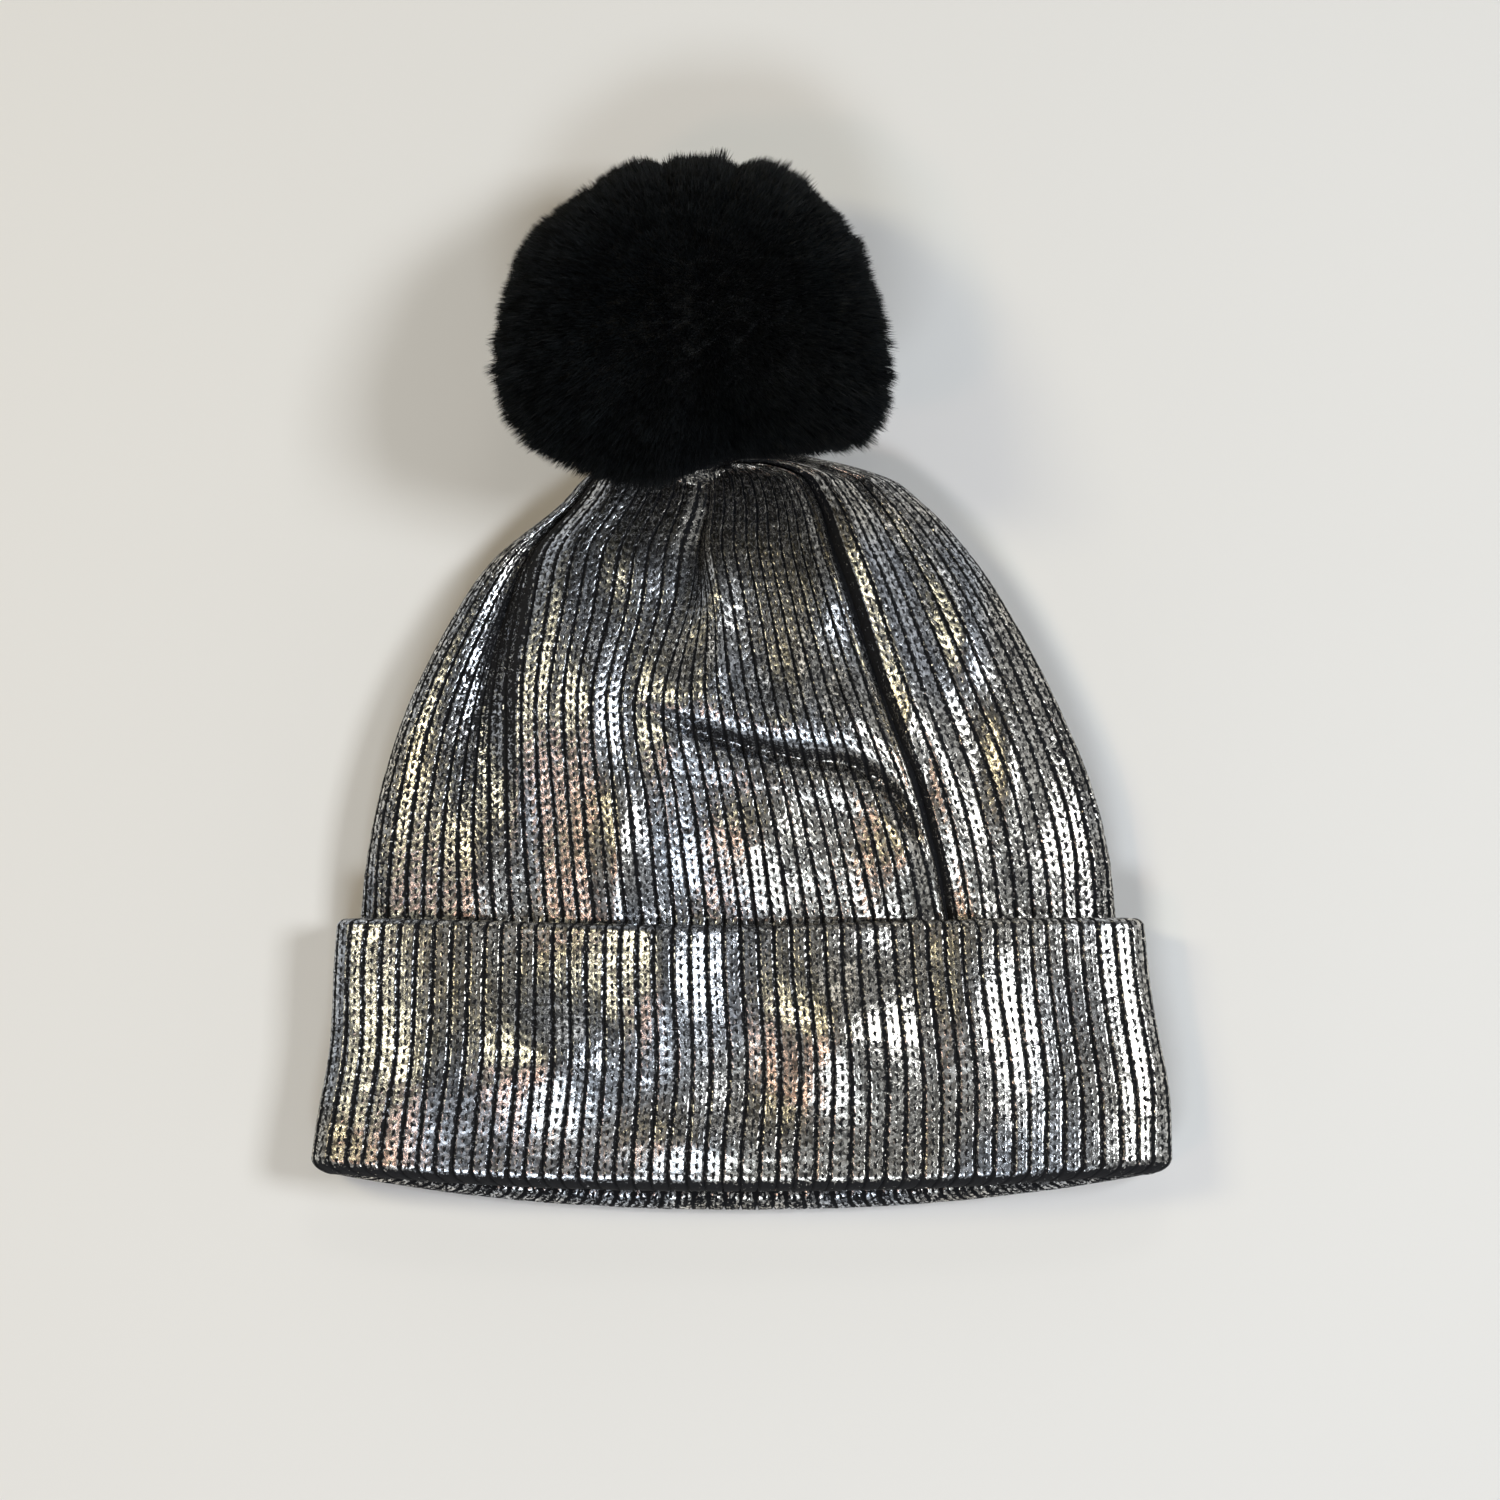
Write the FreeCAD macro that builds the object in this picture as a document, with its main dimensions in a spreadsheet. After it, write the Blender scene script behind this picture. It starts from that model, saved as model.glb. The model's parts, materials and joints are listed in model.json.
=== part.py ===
import FreeCAD, Part
import math
import os
import Sketcher

# A double-layer ribbed beanie with a turned-up cuff and a press-snapped faux-fur pompom, lying flat on its
# back. Millimetres. +Z is up, out of the flattened front. The mouth faces -Y and the pompom is at +Y. The back of the
# cuff rests on Z = 0, and the origin is in the middle of the hat's outline on that plane.
#
# The knit tubes are drawn with the mouth's edge at Y = 0, and each finished piece is then moved by -middle_y.
#
# The pompom pieces share one axis. It rises from the gathered end of the crown at pom_rise degrees, and their
# local Z runs along it with its zero at the pompom's centre. The crown's end is therefore at negative local Z.

V = FreeCAD.Vector
doc = FreeCAD.newDocument("beanie")
sheet = doc.addObject("Spreadsheet::Sheet", "dims")

DIMENSIONS = [
    # the flat knit tubes
    ("cuff_half", 118.0), ("cuff_top_half", 111.0), ("cuff_height", 70.0), ("cuff_thick", 30.0),
    ("cuff_mid_y", 38.0), ("cuff_mid_half", 114.6), ("cuff_press", 0.25),
    ("cuff_ply", 2.6), ("backing_ply", 2.4), ("shell_ply", 2.4), ("lining_ply", 2.0), ("ply_gap", 0.2),
    ("lip_depth", 3.0), ("lip_round", 2.4), ("seam_width", 2.4), ("seam_gap", 0.1),
    # how far a cutting tool reaches past what it cuts: on small pieces, and on the whole hat
    ("overcut", 1.0), ("reach", 10.0),
    # crown stations: distance from the mouth, half width, lowest and highest Z, sideways shift
    ("mouth_y", 3.2), ("mouth_half", 112.4), ("mouth_low", 5.4), ("mouth_high", 24.6), ("mouth_shift", 0.0),
    ("brim_y", 68.0), ("brim_half", 104.0), ("brim_low", 5.4), ("brim_high", 24.6), ("brim_shift", -0.6),
    ("rise_y", 86.0), ("rise_half", 102.0), ("rise_low", 2.0), ("rise_high", 28.2), ("rise_shift", -1.0),
    ("lower_y", 106.0), ("lower_half", 97.3), ("lower_low", 0.3), ("lower_high", 30.6), ("lower_shift", -1.8),
    ("belly_y", 129.0), ("belly_half", 89.0), ("belly_low", 0.3), ("belly_high", 31.0), ("belly_shift", -2.9),
    ("upper_y", 151.0), ("upper_half", 79.2), ("upper_low", 0.3), ("upper_high", 29.6), ("upper_shift", -3.7),
    ("neck_y", 171.0), ("neck_half", 67.0), ("neck_low", 0.3), ("neck_high", 27.2), ("neck_shift", -4.7),
    ("gather_y", 187.0), ("gather_half", 51.5), ("gather_low", 0.8), ("gather_high", 23.6),
    ("gather_shift", -6.4),
    ("draw_y", 198.0), ("draw_half", 36.0), ("draw_low", 2.4), ("draw_high", 20.0), ("draw_shift", -9.8),
    ("end_y", 205.0), ("end_half", 21.0), ("end_low", 5.0), ("end_high", 16.4), ("end_shift", -12.6),
    # care label
    ("label_width", 24.0), ("label_length", 22.0), ("label_thick", 0.4), ("label_y", 8.0), ("label_lift", 0.1),
    # pompom
    ("pom_x", -13.0), ("pom_y", 234.0), ("pom_z", 48.0), ("pom_rise", 45.0),
    ("fur_radius", 56.0), ("fur_polar", 38.0), ("fur_recess", 15.0),
    ("skin_radius", 38.0), ("skin_polar", 27.0), ("skin_drop", 5.0), ("skin_wall", 1.2), ("skin_hole", 12.0),
    ("base_radius", 13.0), ("base_thick", 1.6), ("base_top", -30.8), ("tie_radius", 13.7), ("tie_wire", 0.5),
    # press snap
    ("post_radius", 1.6), ("post_gap", 0.05), ("post_depth", 1.4),
    ("eyelet_radius", 5.5), ("eyelet_thick", 0.6),
    ("stud_flange", 6.0), ("stud_flange_thick", 0.7), ("stud_neck", 2.3), ("stud_head", 2.8),
    ("stud_head_tall", 1.2), ("stud_ease", 0.3), ("stud_tip", -36.6), ("stud_wall", 0.9),
    ("socket_flange", 7.0), ("socket_flange_thick", 0.9), ("socket_radius", 5.4), ("socket_bore", 3.2),
    ("socket_top", -33.5), ("socket_floor", -37.3),
    ("spring_radius", 3.55), ("spring_wire", 0.4), ("spring_z", -34.9), ("spring_room", 0.35),
    # gathered tip of the crown, a hollow dome around the point that the pompom leans about
    ("tip_z", -46.6), ("tip_radius", 10.0), ("tip_wall", 2.4), ("tip_flat", 7.4), ("tip_rim", -5.0),
    ("patch_radius", 5.4), ("patch_thick", 0.8), ("cap_radius", 4.6), ("cap_thick", 0.6),
    ("yarn_radius", 11.0), ("yarn_wire", 0.7), ("tip_hole", 12.1),
]
for row, (alias, value) in enumerate(DIMENSIONS, start=1):
    sheet.set(f"A{row}", alias)
    sheet.set(f"B{row}", str(value))
    sheet.setAlias(f"B{row}", alias)
doc.recompute()

# half the length from the mouth's edge to the far side of the tilted fur
MIDDLE_Y = ("(dims.pom_y + sqrt((dims.fur_radius * sin(dims.pom_rise))^2"
            " + (dims.fur_polar * cos(dims.pom_rise))^2)) / 2")

CROWN_STATIONS = ["mouth", "brim", "rise", "lower", "belly", "upper", "neck", "gather", "draw", "end"]
SUB_PARTS = []


def bind(thing, **expressions):
    """Binds properties of an object to spreadsheet expressions; __ in a name stands for a dot."""
    for name, expression in expressions.items():
        thing.setExpression(name.replace("__", "."), expression)
    return thing


def sub_part(thing, label):
    """Names a finished object as one physical piece."""
    thing.Label = label
    SUB_PARTS.append(thing)
    return thing


def moved_to_middle(thing):
    """Moves a piece drawn with the mouth's edge at Y = 0 into the part's own frame."""
    return bind(thing, Placement__Base__y=f"-({MIDDLE_Y})")


def primitive(kind, name, **expressions):
    return bind(doc.addObject(kind, name), **expressions)


def boolean(kind, name, base, tool):
    result = doc.addObject(kind, name)
    result.Base = base
    result.Tool = tool
    return result


def on_pom_axis(thing):
    """Puts an object drawn about local Z on the pompom's axis."""
    thing.Placement = FreeCAD.Placement(V(0, 0, 0), FreeCAD.Rotation(V(-1, 0, 0), 45))
    return bind(thing, Placement__Base__x="dims.pom_x", Placement__Base__y=f"dims.pom_y - {MIDDLE_Y}",
                Placement__Base__z="dims.pom_z", Placement__Rotation__Angle="dims.pom_rise")


# ---------------------------------------------------------------- flat knit tubes

def plane_of(body, role):
    return next(f for f in body.Origin.OriginFeatures if f.Role == role)


def flat_section(body, name, place_y, half, low, high, shift):
    """A slot-shaped outline across the hat: flat top and bottom, round sides. All sizes are expressions."""
    sketch = body.newObject("Sketcher::SketchObject", name)
    sketch.AttachmentSupport = [(plane_of(body, "XZ_Plane"), "")]
    sketch.MapMode = "FlatFace"
    # the plane's normal is -Y
    sketch.setExpression("AttachmentOffset.Base.z", f"-({place_y})")
    right, left, radius = 60.0, -60.0, 12.0
    up, down = math.pi / 2, -math.pi / 2
    normal = V(0, 0, 1)
    sketch.addGeometry(Part.LineSegment(V(left, -radius, 0), V(right, -radius, 0)))
    sketch.addGeometry(Part.ArcOfCircle(Part.Circle(V(right, 0, 0), normal, radius), down, up))
    sketch.addGeometry(Part.LineSegment(V(right, radius, 0), V(left, radius, 0)))
    sketch.addGeometry(Part.ArcOfCircle(Part.Circle(V(left, 0, 0), normal, radius), up, up + math.pi))
    for first, first_end, second, second_end in ((0, 2, 1, 1), (1, 2, 2, 1), (2, 2, 3, 1), (3, 2, 0, 1)):
        sketch.addConstraint(Sketcher.Constraint("Tangent", first, first_end, second, second_end))
    sketch.addConstraint(Sketcher.Constraint("Equal", 1, 3))
    sketch.addConstraint(Sketcher.Constraint("Horizontal", 0))
    sizes = {
        "side_radius": (Sketcher.Constraint("Radius", 1, radius), f"(({high}) - ({low})) / 2"),
        "flat_length": (Sketcher.Constraint("DistanceX", 3, 3, 1, 3, right - left),
                        f"2 * ({half}) - (({high}) - ({low}))"),
        "middle_x": (Sketcher.Constraint("DistanceX", -1, 1, 1, 3, right),
                     f"({shift}) + ({half}) - (({high}) - ({low})) / 2"),
        "middle_z": (Sketcher.Constraint("DistanceY", -1, 1, 1, 3, 0.5), f"(({high}) + ({low})) / 2"),
    }
    for size, (constraint, expression) in sizes.items():
        index = sketch.addConstraint(constraint)
        sketch.renameConstraint(index, size)
        sketch.setExpression(f"Constraints.{size}", expression)
    return sketch


def station(body, name, place, inset, place_y=None):
    """The crown's outline at a named station, drawn in by inset on every side."""
    return flat_section(body, name, place_y or f"dims.{place}_y", f"dims.{place}_half - ({inset})",
                        f"dims.{place}_low + ({inset})", f"dims.{place}_high - ({inset})",
                        f"dims.{place}_shift")


def loft(body, kind, name, sections):
    feature = body.newObject(kind, name)
    feature.Profile = sections[0]
    feature.Sections = sections[1:]
    feature.Ruled = True
    return feature


def crown_shell():
    """The outer layer, closed at its gathered end and open at the mouth, inside the cuff's folded lip."""
    body = doc.addObject("PartDesign::Body", "shell_body")
    outer = [station(body, f"shell_out_{place}", place, "0") for place in CROWN_STATIONS]
    loft(body, "PartDesign::AdditiveLoft", "shell_outside", outer)
    inner = []
    for place in CROWN_STATIONS:
        place_y = {"mouth": "dims.mouth_y - dims.overcut", "end": "dims.end_y - dims.shell_ply"}.get(place)
        inner.append(station(body, f"shell_in_{place}", place, "dims.shell_ply", place_y))
    loft(body, "PartDesign::SubtractiveLoft", "shell_inside", inner)
    return body


def crown_lining():
    """The inner layer, closed at its own end short of the crown's."""
    body = doc.addObject("PartDesign::Body", "lining_body")
    outside = "dims.shell_ply + dims.ply_gap"
    inside = outside + " + dims.lining_ply"
    places = CROWN_STATIONS[:CROWN_STATIONS.index("gather") + 1]
    outer = [station(body, f"lining_out_{place}", place, outside) for place in places]
    loft(body, "PartDesign::AdditiveLoft", "lining_outside", outer)
    inner = []
    for place in places:
        place_y = {"mouth": "dims.mouth_y - dims.overcut",
                   "gather": "dims.gather_y - dims.lining_ply"}.get(place)
        inner.append(station(body, f"lining_in_{place}", place, inside, place_y))
    loft(body, "PartDesign::SubtractiveLoft", "lining_inside", inner)
    return body


def cuff_ring(body, name, kind, rows):
    """A ring of the cuff: rows of (distance from the mouth, half width, inset from the cuff's outside)."""
    sections = []
    for number, (place_y, half, inset) in enumerate(rows):
        low = f"({inset}) - dims.cuff_press"
        high = f"dims.cuff_thick - ({inset}) + dims.cuff_press"
        sections.append(flat_section(body, f"{name}_{number}", place_y, f"{half} - ({inset})", low, high, "0"))
    return loft(body, kind, name, sections)


def cuff():
    """The outer ply of the turned-up band, with its folded lip at the mouth and the turned edge at its top."""
    body = doc.addObject("PartDesign::Body", "cuff_body")
    cuff_ring(body, "cuff_outside", "PartDesign::AdditiveLoft", [
        ("0", "dims.cuff_half", "dims.lip_round"),
        ("dims.lip_round / 3", "dims.cuff_half", "dims.lip_round / 3"),
        ("dims.lip_round", "dims.cuff_half", "0"),
        ("dims.cuff_mid_y", "dims.cuff_mid_half", "0"),
        ("dims.cuff_height - dims.lip_round", "dims.cuff_top_half", "0"),
        ("dims.cuff_height", "dims.cuff_top_half", "dims.lip_round / 2")])
    cuff_ring(body, "cuff_pocket", "PartDesign::SubtractiveLoft", [
        ("dims.lip_depth", "dims.cuff_half", "dims.cuff_ply"),
        ("dims.cuff_mid_y", "dims.cuff_mid_half", "dims.cuff_ply"),
        ("dims.cuff_height - dims.cuff_ply", "dims.cuff_top_half", "dims.cuff_ply")])
    stack = "dims.cuff_ply + dims.backing_ply + dims.shell_ply + dims.lining_ply + 3 * dims.ply_gap"
    cuff_ring(body, "cuff_mouth", "PartDesign::SubtractiveLoft", [
        ("-dims.overcut", "dims.cuff_half", stack),
        ("dims.lip_depth + dims.overcut", "dims.cuff_half", stack)])
    collar = "dims.cuff_ply + dims.backing_ply + dims.ply_gap"
    cuff_ring(body, "cuff_collar", "PartDesign::SubtractiveLoft", [
        ("dims.cuff_height - dims.cuff_ply - dims.overcut", "dims.cuff_top_half", collar),
        ("dims.cuff_height + dims.overcut", "dims.cuff_top_half", collar)])
    table = primitive("Part::Box", "table_side", Length="2 * (dims.cuff_half + dims.reach)",
                      Width="dims.cuff_height + 2 * dims.reach", Height="dims.reach",
                      Placement__Base__x="-dims.cuff_half - dims.reach", Placement__Base__y="-dims.reach",
                      Placement__Base__z="-dims.reach")
    return boolean("Part::Cut", "cuff_pressed_flat", body, table)


def cuff_backing():
    """The inner ply of the turned-up band, between the crown and the cuff's outer ply."""
    body = doc.addObject("PartDesign::Body", "backing_body")
    near, far = "dims.lip_depth + dims.ply_gap", "dims.cuff_height - dims.cuff_ply - dims.ply_gap"
    outside = "dims.cuff_ply + dims.ply_gap"
    inside = outside + " + dims.backing_ply"
    for kind, name, inset, reach in (("PartDesign::AdditiveLoft", "backing_outside", outside, ""),
                                     ("PartDesign::SubtractiveLoft", "backing_inside", inside, "dims.overcut")):
        start = f"{near} - {reach}" if reach else near
        stop = f"{far} + {reach}" if reach else far
        cuff_ring(body, name, kind, [(start, "dims.cuff_half", inset),
                                     ("dims.cuff_mid_y", "dims.cuff_mid_half", inset),
                                     (stop, "dims.cuff_top_half", inset)])
    return body


def with_back_seam(tube, tube_label, seam_label):
    """Splits a tube along the middle of its back into the knit panel and the seam that closes it."""
    slabs = []
    for name, room in (("strip", "0"), ("slot", "dims.seam_gap")):
        slabs.append(primitive(
            "Part::Box", f"{seam_label}_{name}", Length=f"dims.seam_width + 2 * ({room})",
            Width=f"dims.gather_y + dims.reach + ({room})", Height="dims.cuff_thick / 2 + dims.reach",
            Placement__Base__x=f"-dims.seam_width / 2 - ({room})", Placement__Base__y="-dims.reach",
            Placement__Base__z="-dims.reach"))
    panel = boolean("Part::Cut", f"{tube_label}_panel", tube, slabs[1])
    seam = boolean("Part::Common", f"{seam_label}_closed", tube, slabs[0])
    sub_part(moved_to_middle(panel), tube_label)
    sub_part(moved_to_middle(seam), seam_label)


def tip_opening(shell):
    """The round opening at the crown's end, with room for the gathered tip to lean."""
    ball = primitive("Part::Sphere", "tip_opening", Radius="dims.tip_hole",
                     Placement__Base__x="dims.pom_x",
                     Placement__Base__y="dims.pom_y + dims.tip_z * cos(dims.pom_rise)",
                     Placement__Base__z="dims.pom_z + dims.tip_z * sin(dims.pom_rise)")
    return boolean("Part::Cut", "shell_opened", shell, ball)


def care_label():
    floor = "dims.mouth_low + dims.shell_ply + dims.ply_gap + dims.lining_ply + dims.label_lift"
    return primitive("Part::Box", "label_strip", Length="dims.label_width", Width="dims.label_length",
                     Height="dims.label_thick", Placement__Base__x="dims.seam_width",
                     Placement__Base__y=f"dims.label_y - {MIDDLE_Y}", Placement__Base__z=floor)


# ---------------------------------------------------------------- round pieces on the pompom's axis

def drum(name, radius, bottom, top):
    """A cylinder about local Z between two heights; all three are expressions."""
    cylinder = primitive("Part::Cylinder", name, Radius=radius, Height=f"({top}) - ({bottom})")
    cylinder.setExpression("Placement.Base.z", bottom)
    return cylinder


def fuse(name, first, second):
    return boolean("Part::Fuse", name, first, second)


def cut(name, base, tool):
    return boolean("Part::Cut", name, base, tool)


def egg(name, radius, polar, middle):
    """A flattened ball about local Z."""
    ball = primitive("Part::Ellipsoid", name, Radius1=polar, Radius2=radius, Radius3=radius)
    ball.setExpression("Placement.Base.z", middle)
    return ball


def ring(name, radius, wire, middle):
    torus = primitive("Part::Torus", name, Radius1=radius, Radius2=wire)
    torus.setExpression("Placement.Base.z", middle)
    return torus


HOLE = "dims.post_radius + dims.post_gap"
BASE_BOTTOM = "dims.base_top - dims.base_thick"
TIP_TOP = "dims.tip_z + dims.tip_flat"
TIP_CEILING = "dims.tip_z + dims.tip_flat - dims.tip_wall"
PATCH_BOTTOM = TIP_CEILING + " - dims.patch_thick"
SKIN_Z = "-dims.skin_drop"
SKIN_END = "-dims.skin_drop - dims.skin_polar - dims.overcut"


def crown_tip():
    """The gathered dome, open below, flattened under the snap and pierced by its post."""
    outside = primitive("Part::Sphere", "tip_outside", Radius="dims.tip_radius",
                        Angle1="asin(dims.tip_rim / dims.tip_radius)",
                        Angle2="asin(dims.tip_flat / dims.tip_radius)")
    outside.setExpression("Placement.Base.z", "dims.tip_z")
    inside = primitive("Part::Sphere", "tip_inside", Radius="dims.tip_radius - dims.tip_wall", Angle1="-89",
                       Angle2="asin((dims.tip_flat - dims.tip_wall) / (dims.tip_radius - dims.tip_wall))")
    inside.setExpression("Placement.Base.z", "dims.tip_z")
    hollow = cut("tip_hollow", outside, inside)
    return cut("tip_pierced", hollow, drum("tip_post_hole", HOLE, f"{TIP_CEILING} - dims.overcut",
                                           f"{TIP_TOP} + dims.overcut"))


def tip_patch():
    disc = drum("patch_disc", "dims.patch_radius", PATCH_BOTTOM, TIP_CEILING)
    return cut("patch_pierced", disc, drum("patch_hole", HOLE, f"{PATCH_BOTTOM} - dims.overcut",
                                           f"{TIP_CEILING} + dims.overcut"))


def snap_cap():
    """The hat half's cap inside the tip, with the post that passes out through the knit."""
    flange = drum("cap_flange", "dims.cap_radius", f"{PATCH_BOTTOM} - dims.cap_thick", PATCH_BOTTOM)
    post = drum("cap_post", "dims.post_radius", f"{PATCH_BOTTOM} - dims.cap_thick / 2",
                f"{TIP_TOP} + dims.post_depth")
    return fuse("cap_with_post", flange, post)


def snap_socket():
    flange = drum("socket_foot", "dims.socket_flange", TIP_TOP, f"{TIP_TOP} + dims.socket_flange_thick")
    barrel = drum("socket_barrel", "dims.socket_radius", TIP_TOP, "dims.socket_top")
    solid = fuse("socket_solid", flange, barrel)
    bored = cut("socket_bored", solid, drum("socket_mouth", "dims.socket_bore", "dims.socket_floor",
                                            "dims.socket_top + dims.overcut"))
    groove = drum("socket_groove", "dims.spring_radius + dims.spring_wire + dims.spring_room",
                  "dims.spring_z - dims.spring_wire - dims.spring_room",
                  "dims.spring_z + dims.spring_wire + dims.spring_room")
    grooved = cut("socket_grooved", bored, groove)
    return cut("socket_riveted", grooved, drum("socket_post_hole", HOLE, f"{TIP_TOP} - dims.overcut",
                                               f"{TIP_TOP} + dims.post_depth + dims.post_gap"))


def snap_stud():
    """The pompom half's stud: a flange under the base, a neck and a round head that the spring holds."""
    flange = drum("stud_foot", "dims.stud_flange", f"{BASE_BOTTOM} - dims.stud_flange_thick", BASE_BOTTOM)
    neck = drum("stud_stem", "dims.stud_neck", "dims.stud_tip + dims.stud_head_tall / 2", BASE_BOTTOM)
    head = drum("stud_bulge", "dims.stud_head", "dims.stud_tip", "dims.stud_tip + dims.stud_head_tall")
    solid = fuse("stud_solid", fuse("stud_footed", flange, neck), head)
    rounded = doc.addObject("Part::Chamfer", "stud_eased")
    rounded.Base = solid
    doc.recompute()
    edges = [number for number, edge in enumerate(solid.Shape.Edges, start=1)
             if len(edge.Vertexes) == 1 and abs(edge.Curve.Radius - sheet.stud_head) < 0.01]
    rounded.Edges = [(number, sheet.stud_ease, sheet.stud_ease) for number in edges]
    return cut("stud_bored", rounded, drum("stud_post_hole", HOLE, "dims.stud_tip + dims.stud_wall",
                                           f"{BASE_BOTTOM} + dims.overcut"))


def snap_eyelet():
    flange = drum("eyelet_flange", "dims.eyelet_radius", "dims.base_top", "dims.base_top + dims.eyelet_thick")
    return fuse("eyelet_with_post", flange, drum("eyelet_post", "dims.post_radius",
                                                 f"{BASE_BOTTOM} - dims.post_depth",
                                                 "dims.base_top + dims.eyelet_thick / 2"))


def pom_base():
    disc = drum("base_disc", "dims.base_radius", BASE_BOTTOM, "dims.base_top")
    return cut("base_pierced", disc, drum("base_hole", HOLE, f"{BASE_BOTTOM} - dims.overcut",
                                          "dims.base_top + dims.overcut"))


def pom_skin():
    outside = egg("skin_outside", "dims.skin_radius", "dims.skin_polar", SKIN_Z)
    inside = egg("skin_inside", "dims.skin_radius - dims.skin_wall", "dims.skin_polar - dims.skin_wall", SKIN_Z)
    hollow = cut("skin_hollow", outside, inside)
    return cut("skin_open", hollow, drum("skin_mouth", "dims.skin_hole", SKIN_END, SKIN_Z))


def pom_stuffing():
    inset = "(dims.skin_wall + dims.ply_gap)"
    ball = egg("stuffing_ball", f"dims.skin_radius - {inset}", f"dims.skin_polar - {inset}", SKIN_Z)
    return cut("stuffing_flat", ball, drum("stuffing_seat", "dims.skin_radius", SKIN_END,
                                           "dims.base_top + dims.eyelet_thick + dims.ply_gap"))


def pom_fur():
    """The pile: everything between the skin and the tips of the fur, parted around the snap."""
    pile = cut("fur_pile", egg("fur_outside", "dims.fur_radius", "dims.fur_polar", "0"),
               egg("fur_inside", "dims.skin_radius + dims.ply_gap", "dims.skin_polar + dims.ply_gap", SKIN_Z))
    parting = drum("fur_parting", "dims.fur_recess", "-dims.fur_polar - dims.overcut", SKIN_Z)
    return cut("fur_parted", pile, parting)


def build():
    with_back_seam(tip_opening(crown_shell()), "crown_shell", "back_seam")
    with_back_seam(crown_lining(), "crown_lining", "lining_seam")
    with_back_seam(cuff(), "cuff", "cuff_seam")
    sub_part(moved_to_middle(cuff_backing()), "cuff_backing")
    sub_part(care_label(), "care_label")
    gather_yarn = ring("yarn_ring", "dims.yarn_radius", "dims.yarn_wire", "dims.tip_z")
    spring = ring("spring_ring", "dims.spring_radius", "dims.spring_wire", "dims.spring_z")
    tie = ring("tie_ring", "dims.tie_radius", "dims.tie_wire", f"{BASE_BOTTOM} + dims.base_thick / 2")
    rings = [("gather_yarn", gather_yarn), ("snap_spring", spring), ("pom_tie", tie)]
    for label, torus in rings:
        # a ring already stands at its own height, so it is carried by a one-piece compound
        carried = doc.addObject("Part::Compound", f"{label}_on_axis")
        carried.Links = [torus]
        sub_part(on_pom_axis(carried), label)
    makers = (crown_tip, tip_patch, snap_cap, snap_socket, snap_stud, snap_eyelet, pom_base, pom_skin,
              pom_stuffing, pom_fur)
    for maker in makers:
        sub_part(on_pom_axis(maker()), maker.__name__)


def check_and_write():
    doc.recompute()
    for thing in doc.Objects:
        if "Invalid" in thing.State or "Error" in thing.State:
            raise RuntimeError(f"{thing.Name} failed: {thing.State}")
    os.makedirs("parts", exist_ok=True)
    for thing in SUB_PARTS:
        shape = thing.Shape
        if shape.isNull() or not shape.isValid() or len(shape.Solids) != 1:
            raise RuntimeError(f"{thing.Label} is not one sound solid: {len(shape.Solids)} solids")
        if shape.ShapeType == "Compound":
            shape = shape.Solids[0]
        shape.exportStep(f"parts/{thing.Label}.step")
        bounds = shape.BoundBox
        print(f"{thing.Label:14s} {shape.Volume / 1000:9.3f} cm3   X {bounds.XMin:7.1f} {bounds.XMax:7.1f}"
              f"   Y {bounds.YMin:7.1f} {bounds.YMax:7.1f}   Z {bounds.ZMin:6.1f} {bounds.ZMax:6.1f}")


build()
check_and_write()
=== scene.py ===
import json
import math

import bpy
import numpy as np
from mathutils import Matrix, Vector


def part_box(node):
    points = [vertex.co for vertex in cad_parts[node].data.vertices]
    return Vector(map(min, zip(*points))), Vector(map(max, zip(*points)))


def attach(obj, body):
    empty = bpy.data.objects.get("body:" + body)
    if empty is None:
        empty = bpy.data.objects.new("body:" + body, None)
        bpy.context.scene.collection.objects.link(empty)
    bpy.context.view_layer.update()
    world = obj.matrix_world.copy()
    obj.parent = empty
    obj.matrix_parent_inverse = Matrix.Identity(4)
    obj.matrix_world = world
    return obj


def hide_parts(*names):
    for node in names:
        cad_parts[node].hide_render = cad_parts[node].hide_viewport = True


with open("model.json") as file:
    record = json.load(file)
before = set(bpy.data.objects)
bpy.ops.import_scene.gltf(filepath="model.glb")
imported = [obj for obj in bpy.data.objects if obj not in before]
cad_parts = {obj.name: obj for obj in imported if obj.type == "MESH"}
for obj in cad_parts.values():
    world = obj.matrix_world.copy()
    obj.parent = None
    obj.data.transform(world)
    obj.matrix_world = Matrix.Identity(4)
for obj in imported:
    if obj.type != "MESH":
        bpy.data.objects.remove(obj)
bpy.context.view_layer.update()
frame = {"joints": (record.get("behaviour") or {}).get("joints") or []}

MM = 0.001

# -------- driving sizes, in metres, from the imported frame

CUFF_LOW, CUFF_HIGH = np.array(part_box("cuff"))
FUR_LOW, FUR_HIGH = np.array(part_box("pom_fur"))
JOINTS = {joint["name"]: joint for joint in frame["joints"]}
TIP = np.array(JOINTS["pom_back_lean"]["pos_m"], dtype=float)
POM_AXIS = np.array(JOINTS["pom_pull_off"]["axis"], dtype=float)
POM_AXIS /= np.linalg.norm(POM_AXIS)
POM_MIDDLE = (FUR_LOW + FUR_HIGH) / 2
ACROSS = np.array([1.0, 0.0, 0.0])
# the knit is laid out from the middle of the mouth's edge
FROM_MOUTH = np.array([0.0, CUFF_LOW[1], 0.0])
TIP_FROM_MOUTH = TIP - FROM_MOUTH
IN_FRAME = np.zeros(3)
# towards the crown's top side, square to the pompom's axis
BACKWARD = np.cross(POM_AXIS, ACROSS)
if BACKWARD[1] > 0:
    BACKWARD = -BACKWARD
POM_WAYS = np.stack([ACROSS, BACKWARD, POM_AXIS])

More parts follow.
